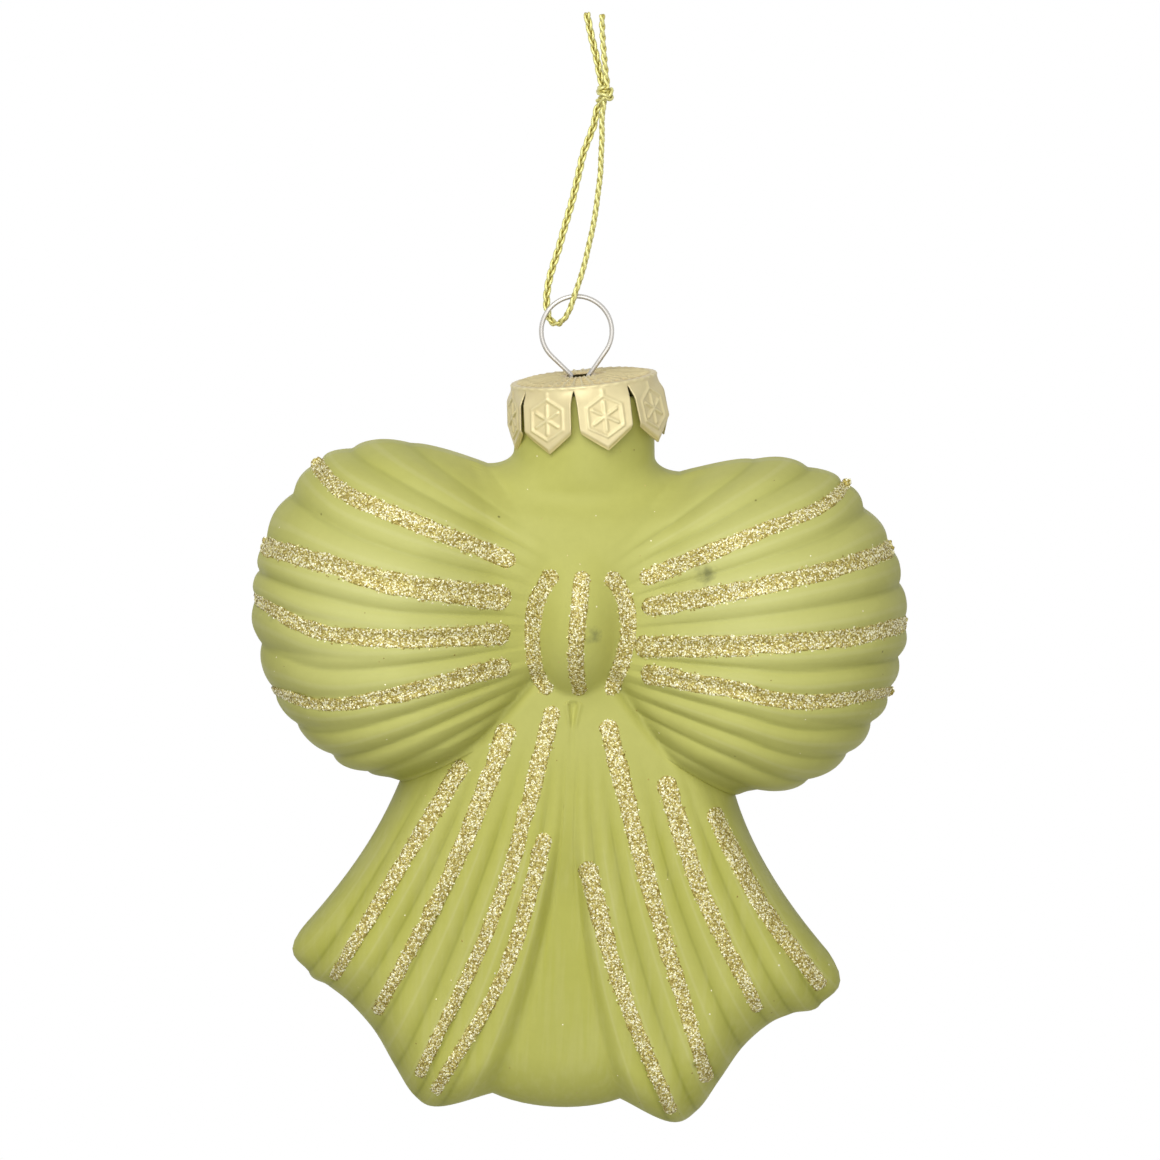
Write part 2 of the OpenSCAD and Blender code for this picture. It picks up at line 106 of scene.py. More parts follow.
# Hub behind the knot, and the knot
HUB_HALF = 14
HUB_SQUARE = 3
HUB_DEPTH = [
    (-20, 6.5), (-2, 6.5), (3, 8.6), (8, 10.8), (12, 11.9), (15, 11.7), (18, 10.5), (19.5, 9.3),
    (20.5, 8.9), (22.5, 9.1), (34, 9.1),
]
HUB_FADE = (6, 20)
HUB_END = 6
KNOT_MIDDLE = 5
KNOT_HALF = 7.3
KNOT_DOWN = 12.3
KNOT_UP = 10.8
KNOT_DEPTH = 14.6
KNOT_SQUARE = 2.2
KNOT_FULL = 0.45
# Fillets where the loops meet the hub, the tails and the knot, which is softer at its top
HUB_SOFT = 5
TAIL_SOFT = 1.2
KNOT_SOFT = (1, 4)
KNOT_SOFT_RANGE = (-3, 9)

# Tails: the places of the flute lines under the crease, at mid height and at the foot
FLUTES = 8
FLUTE_PITCH = 3.2
Tail = namedtuple("Tail", "top mid foot corner")
RIGHT_TAIL = Tail(
    top=[1.5, 2.3, 3.4, 5.2, 8.4, 11.5, 14.4, 17.8, 21.6],
    mid=[1.4, 4.4, 7.6, 11.2, 14.5, 17.9, 21.6, 25.3, 28.3],
    foot=[(8.4, -59.8), (15.2, -62.6), (18.6, -60.9), (21.3, -56.8), (24.2, -52.2),
          (27.6, -48.9), (30.6, -47.4), (34.2, -46), (34.6, -38.9)],
    corner=(2, -1.1))
LEFT_TAIL = Tail(
    top=[1.5, 2.3, 3.4, 5.2, 8.4, 11.5, 14.4, 18, 22.3],
    mid=[1.4, 4.6, 8.1, 11.4, 14.9, 18.5, 22, 25.4, 28.5],
    foot=[(8.4, -59.8), (15.4, -61.9), (18.6, -60.6), (21.3, -56.8), (24.2, -52.2),
          (27.6, -48.6), (30.6, -46.4), (33.2, -44.7), (33.6, -38.2)],
    corner=(1.9, -1))
CORNER_POWER = 1.5
MID_Z = -31.3
WEB_FOOT = -61.3
WEB_STEP = 1.5
WEB_RANGE = (22, 34)
WEB_EDGE = 0.55
TAIL_DEPTH = 10.5
TAIL_TAPER = [(-62, 0.78), (-45, 0.86), (-30, 0.92), (-20, 0.93), (-14, 0.91), (-8, 0.86), (0, 0.82)]
SIDE_ROUND = 8
FOOT_ROUND = 6
FOOT_SLOPE = 0.8
FLUTE_RISE = (9, 28)
FLUTE_SHARE = 0.6
FLUTES_TOP = 2

# Waist: the line where a loop tucks in over its tail, and how both round off at it
WAIST = [
    (0, -2.6), (4, -4.2), (6, -6.6), (9, -10.2), (12, -13.2), (15, -15.4), (19, -17.6), (24, -20),
    (60, -40),
]
WAIST_OVERLAP = 4.5
WAIST_ROUND = 5
TUCK = 0.3
TUCK_START = 0.5
TUCK_ROUND = 5.5
TUCK_SHARE = (0.35, 0.7)

# Mark that the mould left under the knot: a V with raised edges, and a seam below it
NOTCH = (-6.4, -9.3)
NOTCH_HALF = (0.65, 0.2)
NOTCH_DEPTH = 0.4
NOTCH_FADE = 0.1
NOTCH_SIDE = (-0.2, 0.1)
EDGE_PLACE = 0.25
EDGE_HALF = 0.3
EDGE_RISE = 0.7
SEAM_FOOT = -15.3
SEAM_FADE = 2
SEAM_HALF = 0.4
SEAM_DEPTH = 0.08

# Neck: its radius at the fillet and at the rim, and the fillet into the shoulders
NECK_RADIUS = (9.2, 8.7)
NECK_FOOT = 25.3
NECK_TOP = 33.6
FILLET_SHARE = 0.5

# Glitter lines as they show from the front, from the wide end to the narrow one
LEFT_LOOP_LINES = [
    [(-8.3, 10.5), (-24, 16), (-31.4, 19), (-35.3, 22.9)],
    [(-8.7, 5.7), (-23.6, 7), (-33, 9.3), (-41.7, 11.3)],
    [(-8.6, 1.2), (-23.3, -0.1), (-33.9, 0.5), (-42.1, 4.2)],
    [(-8.4, -2.9), (-23, -7.4), (-32.2, -9.2), (-39.2, -7.8)],
]
RIGHT_LOOP_LINES = [
    [(7.9, 8.9), (23.7, 16.1), (31.5, 19.8), (34.8, 23.3)],
    [(8.3, 5.2), (24, 8.9), (35.7, 12.4), (40.9, 14.7)],
    [(7.6, 0.1), (24.3, 1.2), (36.2, 2.8), (43, 4.7)],
    [(8.6, -3.2), (20.6, -4.9), (29.9, -6.1), (41.8, -4.3)],
]
KNOT_LINES = [
    [(-3.1, 9.6), (-5.3, 5.7), (-5.7, 0.7), (-4.9, -3.7), (-3.2, -6.6)],
    [(0.5, 9.8), (0.2, 4.4), (0, -0.8), (0.8, -6.6)],
    [(3.7, 9.6), (5.8, 7), (6.6, 3.6), (6.5, -0.1), (5.4, -4.3), (4.4, -6.3)],
]
LEFT_TAIL_LINES = [
    [(-13.8, -15.9), (-22, -30.9), (-29.9, -45.5)],
    [(-8.2, -10.7), (-14.7, -29.9), (-24, -49.8)],
    [(-2.5, -8.1), (-8.6, -34.3), (-18.1, -57.9)],
    [(-2.8, -24.9), (-7.5, -43.5), (-16, -60)],
]
RIGHT_TAIL_LINES = [
    [(4.4, -9.6), (11.2, -32.1), (19.8, -56.9)],
    [(12.2, -16.7), (17.8, -31.8), (26, -47.3)],
    [(18.5, -20.7), (25.8, -33.4), (34.3, -43.9)],
    [(2.5, -28.4), (7.8, -44.8), (15.3, -61.3)],
]
LEFT_LOOP_WIDTHS = [(2.4, 1.9), (3.4, 2.2), (3.1, 1.6), (2.7, 1.2)]
RIGHT_LOOP_WIDTHS = [(2.4, 1.2), (2.6, 2.1), (3, 2), (2.8, 1.4)]
KNOT_WIDTHS = [(2.2, 2), (2.2, 2), (2.2, 2)]
LEFT_TAIL_WIDTHS = [(2.3, 1.4), (2.8, 1.5), (2.3, 1.5), (2.3, 1.5)]
RIGHT_TAIL_WIDTHS = [(2.6, 1.8), (2.7, 1.6), (2.2, 1.9), (2.6, 1.7)]

# Crown cap: its lean on the neck, its disc, skirt and tabs
CAP_PIVOT = 31.2
CAP_ARM = 4
CAP_LEAN = 7.5
CAP_RADIUS = 9.55
CAP_FLARE = 0.8
CAP_ROLL = 0.22
CAP_SKIRT = 8.6
CAP_BAND = 0.5
TAB_COUNT = 8
TAB_CORNER = 6.1
TAB_TURN = -8
TAB_GAP = (0.1, 0.42)
TAB_FLARES = [0.3, 0.45, 0.1, 0.4, 0.2, -0.3, -0.2, 0.1]
SLOT = (3.3, 4.4)
SLOT_SHIFT = -0.5
DISC_DOME = 0.4

# Wire hanger: the centre and radius of its round part, and its legs from the slot down
RING_CENTRE = (-1.7, 41.2)
RING_RADIUS = 4.6
LEG_LEFT = [(-2.2, 35.5), (-2.3, 31), (-5.6, 20.5)]
LEG_RIGHT = [(0.1, 35.4), (0.3, 31), (5.2, 20.5)]

# Cord: from the end of one tail through the knot, round the ring's wire and back to the other tail
TAIL_LEFT_ROUTE = [
    (0.3, 0.4, 73.4), (-0.1, 0.4, 74.7), (-0.6, 0.4, 76.8), (-1.5, 0.4, 80), (-2.2, 0.3, 82.9),
]
LOOP_ROUTE = [
    (0.5, 0.6, 72), (-0.3, 0.7, 70.2), (-0.6, 0.75, 68.3), (-1.2, 0.85, 66.4), (-1.8, 0.9, 64.5),
    (-2.2, 1, 62.4), (-2.6, 1.05, 60.3), (-3, 1.1, 58.2), (-3.5, 1.2, 56.1), (-4, 1.25, 54),
    (-4.5, 1.3, 51.8), (-5.1, 1.4, 49.6), (-5.6, 1.45, 47.4), (-5.8, 1.4, 45.2), (-5.6, 1.3, 43.5),
    (-5.3, 1, 42.6), (-4.7, 0.5, 42.1), (-4, -0.2, 42.2), (-3.4, -0.7, 42.8), (-2.9, -1, 43.7),
    (-2.5, -1.15, 44.8), (-2.1, -1.2, 46.3), (-1.5, -1.15, 48.3), (-1, -1.1, 50.4), (-0.6, -1.05, 52.6),
    (-0.2, -1, 54.8), (0.1, -0.95, 57.1), (0.3, -0.9, 59.4), (0.5, -0.85, 62), (0.5, -0.8, 64.6),
    (0.5, -0.75, 67), (0.4, -0.7, 69.4), (0.7, -0.6, 72),
]
KNOT_WRAP = [
    (1.2, -0.4, 72.3), (1.2, 0.4, 72.4), (0.6, 0.8, 72), (0, 0.4, 71.6), (0, -0.4, 71.6),
    (0.6, -0.9, 72), (1.3, -0.5, 72.7), (1.3, 0.4, 72.9), (0.6, 0.8, 72.7), (0, 0.5, 72.6),
    (0, -0.6, 72.6), (0.6, -1.2, 72.3), (1.2, -0.8, 72), (1.3, 0.3, 72.1), (0.6, 0.9, 72.5),
    (0, 0.4, 72.9), (0.1, -0.5, 73), (0.5, -0.8, 73.1),
]
TAIL_RIGHT_ROUTE = [
    (0.9, -0.4, 73.4), (0.7, -0.4, 74.7), (0.4, -0.4, 76.8), (0, -0.3, 80), (-0.2, -0.3, 82.9),
]


def paint(red, green, blue):
    """A linear colour from one written in 0 to 255."""
    shares = [v / 255 for v in (red, green, blue)]
    return tuple(v / 12.92 if v <= 0.04045 else ((v + 0.055) / 1.055) ** 2.4 for v in shares)


def length_prop(name, description, default):
    return FloatProperty(name=name, description=description, default=default, unit="LENGTH", precision=5)


def colour_prop(name, description, *default):
    return FloatVectorProperty(
        name=name, description=description, subtype="COLOR", min=0, max=1, default=paint(*default))


class BowGlassSettings(bpy.types.PropertyGroup):
    """The lacquered glass bow."""
    pleat: length_prop("Pleat relief", "Height of the moulded pleats and flutes", 0.00075)
    wall: length_prop("Wall", "Thickness of the glass", 0.0013)
    ridge: colour_prop("Ridge colour", "Lacquer on the crests of the pleats", 201, 201, 100)
    # Painted shade: the groove colour is darker and more saturated, standing in for the shade and bounced
    # light in the grooves
    groove: colour_prop("Groove colour", "Lacquer in the grooves, where it lies thicker", 182, 183, 78)
    # Painted shade: the inside colour is dark, standing in for the shade inside the closed bow
    inside: colour_prop("Inside colour", "Bare glass inside", 92, 94, 58)


class BowGlitterSettings(bpy.types.PropertyGroup):
    """The lines of glitter and the stray flakes."""
    rise: length_prop("Rise", "Height of a glitter line over the glass", 0.00014)
    flake: length_prop("Flake", "Width of the largest flake", 0.00048)
    density: FloatProperty(name="Density", description="Flakes on a square metre", default=2.5e7, max=1e9)
    strays: FloatProperty(
        name="Strays", description="Stray flakes on a square metre", default=1.5e4, max=1e9)
    seed: IntProperty(name="Seed", description="Seed of the scatter", default=7)
    # Painted shade and painted glint: each flake gets a random tone from dark to bright in place of its
    # own turn to the light
    dark: colour_prop("Dark flakes", "Flakes turned away from the light", 140, 118, 36)
    middle: colour_prop("Middle flakes", "Most of the flakes", 214, 203, 118)
    bright: colour_prop("Bright flakes", "Flakes that catch the light", 255, 252, 220)


class BowCapSettings(bpy.types.PropertyGroup):
    """The stamped crown cap."""
    sheet: length_prop("Sheet", "Thickness of the sheet", 0.0002)
    stamp: length_prop("Stamp", "Height of the stamped figures", 0.00025)
    gold: colour_prop("Gold", "Champagne gold of the sheet", 234, 220, 168)
    # Painted highlight: the raised parts of the stamp are paler
    raised_highlight: colour_prop("Burnish", "Gold on the raised edges", 250, 238, 184)


class BowHangerSettings(bpy.types.PropertyGroup):
    """The wire hanger."""
    wire: length_prop("Wire", "Diameter of the spring wire", 0.00062)
    steel: colour_prop("Steel", "Bright drawn steel", 206, 203, 197)


class BowCordSettings(bpy.types.PropertyGroup):
    """The braided hanging cord."""
    thickness: length_prop("Thickness", "Diameter of the cord", 0.001)
    lay: length_prop("Lay", "Length in which a strand of the plait comes back to its side", 0.0042)
    length: length_prop("Length", "Length from end to end", 0.1006)
    light: colour_prop("Light yarn", "Metal yarn in the light", 228, 225, 150)
    shade: colour_prop("Shaded yarn", "Metal yarn between the strands", 164, 152, 66)


class BowStageSettings(bpy.types.PropertyGroup):
    """The camera, the light and the floor."""
    aim: FloatVectorProperty(
        name="Aim", description="Point at the middle of the picture", subtype="TRANSLATION",
        default=(0.00016, 0, -0.06196))
    distance: length_prop("Distance", "From the camera to the ornament", 1.685)
    elevation: FloatProperty(name="Elevation", description="Camera above the horizon", default=7.5)
    roll: FloatProperty(name="Roll", description="Turn of the camera about its view", default=2.5)
    lens: FloatProperty(name="Lens", description="Focal length in millimetres", default=400)
    fill: FloatProperty(name="Fill", description="Light from all round", default=0.28)
    key: FloatProperty(name="Key", description="Power of the soft light above", default=1.18)
    front: FloatProperty(name="Front", description="Power of the soft light in front", default=1)
    floor: length_prop("Floor", "Height of the floor under the hang point", -0.34)


# Curves and blends

def lerp(a, b, t):
    return a + (b - a) * t


def ease(low, high, x):
    """A smooth step from 0 at low to 1 at high."""
    t = np.clip((x - low) / (high - low), 0, 1)
    return t * t * (3 - 2 * t)


def soft_max(a, b, width):
    """The larger of two heights, with a fillet where they meet."""
    overlap = np.maximum(width - np.abs(a - b), 0) / width
    return np.maximum(a, b) + overlap * overlap * width / 4


def round_edge(distance, radius):
    """Share of the full depth at a distance from an edge that is rounded by radius."""
    t = np.clip(distance / radius, 0, 1)
    return np.sqrt(1 - (1 - t) ** 2)


def smooth_table(table):
    """A smooth function through (place, value) pairs."""
    xs, ys = np.array(table, float).T
    slopes = np.gradient(ys, xs)

    def value(x):
        i = np.clip(np.searchsorted(xs, x) - 1, 0, len(xs) - 2)
        width = xs[i + 1] - xs[i]
        t = np.clip((x - xs[i]) / width, 0, 1)
        start = (1 - t) ** 2 * ((1 + 2 * t) * ys[i] + t * width * slopes[i])
        return start + t * t * ((3 - 2 * t) * ys[i + 1] + (t - 1) * width * slopes[i + 1])

    return value


def through(points, k):
    """A smooth curve through points, at fractional indices k."""
    p = np.array(points, float)
    k = np.asarray(k, float)
    last = len(p) - 1
    i = np.clip(np.floor(k).astype(int), 0, last - 1)
    extra = (1,) * (p.ndim - 1)
    u = (k - i).reshape(k.shape + extra)
    first, final = ((i == 0).reshape(k.shape + extra), (i == last - 1).reshape(k.shape + extra))
    b, c = p[i], p[i + 1]
    a = np.where(first, 2 * b - c, p[np.maximum(i - 1, 0)])
    d = np.where(final, 2 * c - b, p[np.minimum(i + 2, last)])
    return b + u * ((c - a) + u * ((2 * a - 5 * b + 4 * c - d) + u * (3 * b - a - 3 * c + d))) / 2


def unit_rows(vectors):
    return vectors / np.linalg.norm(vectors, axis=-1)[..., None]


def along(points, count):
    """Evenly numbered points on the smooth curve through points."""
    return through(points, np.linspace(0, len(points) - 1, count))


def lengths_along(path):
    """The length of a path up to each of its points."""
    return np.concatenate([[0], np.cumsum(np.linalg.norm(np.diff(path, axis=0), axis=1))])


def lift_of(depth, x, z):
    """How much higher than it shows a place of the glass lies, because the camera looks down on it."""
    lift = np.zeros_like(z)
    for _ in range(LIFT_ROUNDS):
        lift = LOOK_DOWN * depth(x, z + lift)
    return lift


# The bow's form: half depths at any place, for x measured outwards on one side (1 right, -1 left)

rim_reach = smooth_table(LOOP_RIM)
hub_reach = smooth_table(HUB_DEPTH)
tail_taper = smooth_table(TAIL_TAPER)
waist_line = smooth_table(WAIST)


def turn_of(x, z):
    return np.degrees(np.arctan2(z - FAN[1], x - FAN[0]))


def ridge(phase):
    """Relief across a pleat or flute: 0 in the rounded groove at each whole phase, 1 on the crest."""
    low = GROOVE_ROUND
    rise = (np.sqrt(np.sin(np.pi * phase) ** 2 + low * low) - low) / (math.sqrt(1 + low * low) - low)
    return np.clip(rise, 0, 1) ** CREST_POWER


def hub_depth(x, z):
    inside = np.sqrt(np.clip(1 - (np.abs(x) / HUB_HALF) ** HUB_SQUARE, 0, 1))
    return hub_reach(z) * inside * (1 - ease(*HUB_FADE, -z))


def knot_depth(x, z):
    across = np.abs(x) / KNOT_HALF
    up = np.abs(z - KNOT_MIDDLE) / np.where(z > KNOT_MIDDLE, KNOT_UP, KNOT_DOWN)
    return KNOT_DEPTH * np.clip(1 - across ** KNOT_SQUARE - up ** KNOT_SQUARE, 0, 1) ** KNOT_FULL


def with_knot(depth, x, z):
    soft = lerp(*KNOT_SOFT, ease(*KNOT_SOFT_RANGE, z))
    return soft_max(depth, knot_depth(x, z), soft)


def crease_z(x):
    return FAN[1] + (x - FAN[0]) * math.tan(math.radians(CREASE_ANGLE))


def foot_at(k, tail):
    bulge = np.sin(np.pi * np.maximum(0, k - FLUTES + 1) ** CORNER_POWER)[..., None]
    return through(tail.foot, k) + bulge * np.array(tail.corner)


def foot_z(k, tail):
    web = lerp(WEB_FOOT, tail.foot[0][1], (k + 1) ** 2)
    return np.where(k < 0, web, foot_at(np.maximum(k, 0), tail)[..., 1])


def flute_x(k, z, tail):
    """Where flute line k runs at height z: a parabola through its top, middle and foot."""
    top, middle, foot = through(tail.top, k), through(tail.mid, k), foot_at(k, tail)
    top_z, foot_height = crease_z(top), foot[..., 1]
    a = top * (z - MID_Z) * (z - foot_height) / ((top_z - MID_Z) * (top_z - foot_height))
    b = middle * (z - top_z) * (z - foot_height) / ((MID_Z - top_z) * (MID_Z - foot_height))
    c = foot[..., 0] * (z - top_z) * (z - MID_Z) / ((foot_height - top_z) * (foot_height - MID_Z))
    return a + b + c


def tail_x(k, z, tail):
    inner = (k + 1) * flute_x(np.zeros_like(k), z, tail)
    return np.where(k < 0, inner, flute_x(np.maximum(k, 0), z, tail))


def flute_of(x, z, tail):
    """The fractional flute number at a place, -1 on the axis and 0 where the web ends."""
    lines = np.array([flute_x(np.full_like(z, k), z, tail) for k in range(FLUTES + 1)])
    below = np.clip((lines <= x).sum(0) - 1, 0, FLUTES - 1)
    left = np.take_along_axis(lines, below[None], 0)[0]
    right = np.take_along_axis(lines, below[None] + 1, 0)[0]
    k = below + (x - left) / (right - left)
    k = np.where(x > lines[FLUTES], FLUTES + (x - lines[FLUTES]) / FLUTE_PITCH, k)
    return np.where(x < lines[0], x / lines[0] - 1, k)


def tail_depth(x, z, k, pleat, tail):
    full = TAIL_DEPTH * tail_taper(z)
    step = WEB_STEP * ease(*WEB_RANGE, -z) * (1 - ease(0, WEB_EDGE, k))
    relief = np.where(k < 0, 0, pleat * FLUTE_SHARE * (ridge(k) - 0.5) * ease(*FLUTE_RISE, -z))
    side = round_edge((FLUTES - k) * FLUTE_PITCH, SIDE_ROUND)
    foot = round_edge((z - foot_z(k, tail)) * FOOT_SLOPE, FOOT_ROUND)
    start = round_edge(waist_line(x) + WAIST_OVERLAP - z, WAIST_ROUND)
    return (full - step + relief) * side * foot * start


def loop_depth(turn, share):
    above = turn > LOOP_MIDDLE
    away = np.abs(turn - LOOP_MIDDLE) / np.where(above, *LOOP_SPREAD)
    full = LOOP_DEPTH * np.sqrt(np.maximum(LOOP_LEAST, 1 - away ** np.where(above, *LOOP_SQUARE)))
    low = ease(*LOOP_FOOT, turn)
    crest, pinch = lerp(*LOOP_CREST, low), lerp(*LOOP_PINCH, low)
    outer = np.sqrt(np.clip(1 - ((share - crest) / (1 - crest)) ** 2, 0, 1))
    inner = 1 - pinch * np.clip(1 - share / crest, 0, 1) ** PINCH_POWER
    return full * np.where(share > crest, outer, inner)


def share_at(x, z, reach):
    """Share of the way from the axis to the outline, along the fan."""
    start = -FAN[0] / np.cos(np.radians(turn_of(x, z)))
    return np.clip((np.hypot(x - FAN[0], z - FAN[1]) - start) / (reach - start), 0, 1)


def upper_depth(x, z, share, relief, tail, pleat=0):
    """Half depth of a loop with the hub, the tail's start and the knot."""
    tuck = lerp(TUCK, 1, round_edge(z - waist_line(x) + TUCK_START, TUCK_ROUND))
    loop = loop_depth(turn_of(x, z), share) * lerp(tuck, 1, ease(*TUCK_SHARE, share)) + relief
    hub = hub_depth(x, z) * np.sqrt(np.clip(1 - share ** HUB_END, 0, 1))
    start = tail_depth(x, z, flute_of(x, np.minimum(z, FLUTES_TOP), tail), pleat, tail)
    return with_knot(soft_max(soft_max(loop, hub, HUB_SOFT), start, TAIL_SOFT), x, z)


def bar(distance, half):
    """Section of a line in relief: 1 on it, falling to 0 at its edges."""
    return 1 - ease(0.4 * half, half, np.abs(distance))


def mould_mark(x, z):
    """Relief of the V under the knot, with raised edges, and of the seam below it."""
    down = (NOTCH[0] - z) / (NOTCH[0] - NOTCH[1])
    inside = ease(-NOTCH_FADE, NOTCH_FADE, down) * (1 - ease(1 - NOTCH_FADE, 1 + NOTCH_FADE, down))
    half = lerp(*NOTCH_HALF, np.clip(down, 0, 1))
    edges = bar(x - half - EDGE_PLACE, EDGE_HALF)
    mark = inside * (EDGE_RISE * edges - (1 - ease(half + NOTCH_SIDE[0], half + NOTCH_SIDE[1], x)))
    below = ease(1, 1 + NOTCH_FADE, down) * ease(SEAM_FOOT, SEAM_FOOT + SEAM_FADE, z)
    return NOTCH_DEPTH * mark - SEAM_DEPTH * below * bar(x, SEAM_HALF)


def lower_depth(x, z, k, pleat, tail):
    depth = with_knot(soft_max(tail_depth(x, z, k, pleat, tail), hub_depth(x, z), TAIL_SOFT), x, z)
    return depth + mould_mark(x, z) if pleat else depth


class Half:
    """One half of the bow: its pleats run where that side's glitter lines lie."""

    def __init__(self, side, lines, trim, tail, pleat):
        self.trim = smooth_table(trim)
        self.tail = tail
        self.pleat = 0
        self.guides = [self.guide(along(line, GUIDE_POINTS) * (side, 1)) for line in lines]
        self.pleat = pleat

    def guide(self, shown):
        """A glitter line on the glass without its pleats, drawn on past both ends."""
        x, z = shown.T
        line = np.stack([x, z + lift_of(self.depth, x, z)])
        before = 2 * line[:, 0] - line[:, GUIDE_REACH]
        after = 2 * line[:, -1] - line[:, -1 - GUIDE_REACH]
        return np.column_stack([before, line, after])

    def phase(self, x, z):
        """Number of the pleat groove at a place: 0, 2, 4 and 6 under the glitter lines."""
        turn = turn_of(x, z)
        turns = [turn_of(x, np.interp(x, *guide)) for guide in self.guides]
        found = (turns[0] - turn) / PLEAT_PERIOD
        for i in range(len(turns) - 1):
            step = 2 * i + 2 * (turns[i] - turn) / (turns[i] - turns[i + 1])
            found = np.where(turn < turns[i], step, found)
        last = 2 * (len(turns) - 1) + (turns[-1] - turn) / PLEAT_PERIOD
        return np.where(turn < turns[-1], last, found)

    def reach(self, turn):
        """Distance from the fan point to the scalloped outline."""
        plain = rim_reach(turn) + self.trim(turn)
        if not self.pleat:
            return plain
        angle = np.radians(turn)
        phase = self.phase(FAN[0] + plain * np.cos(angle), FAN[1] + plain * np.sin(angle))
        return plain + self.pleat * (ridge(phase) - 0.5) * (1 - ease(*PLEAT_FADE, turn))

    def relief(self, x, z, share):
        if not self.pleat:
            return np.zeros_like(x)
        fade = ease(*PLEAT_RISE, share) * (1 - ease(*PLEAT_FADE, turn_of(x, z)))
        fade = fade * np.clip((1 - share) / PLEAT_END, 0, 1)
        return self.pleat * (ridge(self.phase(x, z)) - 0.5) * fade

    def depth(self, x, z):
        """Half depth of the bow at any place under the neck."""
        turn = turn_of(x, z)
        share = share_at(x, z, self.reach(turn))
        upper = upper_depth(x, z, share, self.relief(x, z, share), self.tail, self.pleat)
        lower = lower_depth(x, z, flute_of(x, z, self.tail), self.pleat, self.tail)
        return np.where(turn >= CREASE_ANGLE, upper, lower)

    def crest(self, x, z):
        """1 on the crests of pleats and flutes, 0 in their grooves and in the hollows at the waist; the
        lacquer's painted highlight and painted shade follow it.
        """
        turn = turn_of(x, z)
        share = share_at(x, z, self.reach(turn))
        fade = ease(*PLEAT_RISE, share) * (1 - ease(*PLEAT_FADE, turn))
        over = z - waist_line(x)
        # Painted shade in the hollow at the waist, where the loop tucks in over its tail
        hollow = (1 - ease(*HOLLOW_RISE, over)) * ease(*HOLLOW_SHARE, share)
        upper = lerp(LOOP_TONE, ridge(self.phase(x, z)), fade) * (1 - hollow)
        k = flute_of(x, z, self.tail)
        lower = lerp(TAIL_TONE, ridge(k), ease(*FLUTE_RISE, -z) * ease(0, TAIL_TONE_EDGE, k))
        upper = lerp(lower, upper, ease(*HOLLOW_EDGE, over))
        return np.where(turn >= CREASE_ANGLE, upper, lower)


def halves(pleat):
    return {
        1: Half(1, RIGHT_LOOP_LINES, RIGHT_TRIM, RIGHT_TAIL, pleat),
        -1: Half(-1, LEFT_LOOP_LINES, LEFT_TRIM, LEFT_TAIL, pleat),
    }


def front_depth(bow, x, z):
    """Half depth at places on either side of the axis."""
    return np.where(x >= 0, bow[1].depth(np.abs(x), z), bow[-1].depth(np.abs(x), z))


# Meshes

def to_row(points):
    """Metres in the shared frame, from millimetres on the bow."""
    return (np.asarray(points, float) - (0, 0, DROP)) * MM


def grid_faces(rows, columns, flip, first=0):
    i = np.arange(rows - 1)[:, None] * columns + np.arange(columns - 1)
    quads = np.stack([i, i + 1, i + 1 + columns, i + columns], -1).reshape(-1, 4)
    return (quads[:, ::-1] if flip else quads) + first


def tube_faces(rings, sides, first=0):
    i = np.arange(rings - 1)[:, None] * sides
    k = np.arange(sides)
    after = (k + 1) % sides
    quads = np.stack([i + k, i + after, i + after + sides, i + k + sides], -1).reshape(-1, 4)
    return quads + first


def new_mesh(name, points, faces):
    mesh = bpy.data.meshes.new(name)
    mesh.from_pydata(np.asarray(points).tolist(), [], [list(map(int, f)) for f in faces])
    mesh.validate()
    return mesh


def placed(name, data):
    """A new object in the scene."""
    made = bpy.data.objects.new(name, data)
    bpy.context.scene.collection.objects.link(made)
    return made


def new_piece(name, mesh, materials, smooth=True):
    mesh.materials.clear()
    for material in materials:
        mesh.materials.append(material)
    if smooth:
        mesh.shade_smooth()
    return placed(name, mesh)


def carry(piece, body, slot, *nodes):
    """A piece rides on its body and stands for its solids."""
    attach(piece, body)
    if nodes:
        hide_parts(*nodes)


def add_float(mesh, name, values):
    mesh.attributes.new(name, "FLOAT", "POINT").data.foreach_set("value", np.asarray(values, np.float32))


# Node helpers, for shader and geometry trees alike

def node(tree, kind, inputs=None, **settings):
    made = tree.nodes.new(kind)
    for key, value in settings.items():
        setattr(made, key, value)
    for key, value in (inputs or {}).items():
        if isinstance(value, bpy.types.NodeSocket):
            tree.links.new(value, made.inputs[key])
        else:
            made.inputs[key].default_value = value
    return made


def new_material(name, **values):
    material = bpy.data.materials.new(name)
    material.use_nodes = True
    tree = material.node_tree
    shader = tree.nodes["Principled BSDF"]
    for key, value in values.items():
        shader.inputs[key.replace("_", " ")].default_value = value
    return material, tree, shader


def rgba(colour):
    return (*colour, 1)


def mixed(tree, factor, a, b):
    """A colour mixed from two, which may be colours or sockets."""
    return node(tree, "ShaderNodeMix", {0: factor, 6: a, 7: b}, data_type="RGBA").outputs[2]


def tinted(tree, colour, factor, tint):
    """A colour mixed with a tint written in 0 to 255."""
    return mixed(tree, factor, colour, rgba(paint(*tint)))


def noise(tree, vector, scale, detail=2.0, roughness=0.5):
    inputs = {"Vector": vector, "Scale": scale, "Detail": detail, "Roughness": roughness}
    return node(tree, "ShaderNodeTexNoise", inputs).outputs["Fac"]


def ranged(tree, value, low, high, to_low, to_high):
    inputs = {0: value, 1: low, 2: high, 3: to_low, 4: to_high}
    return node(tree, "ShaderNodeMapRange", inputs, clamp=True).outputs[0]


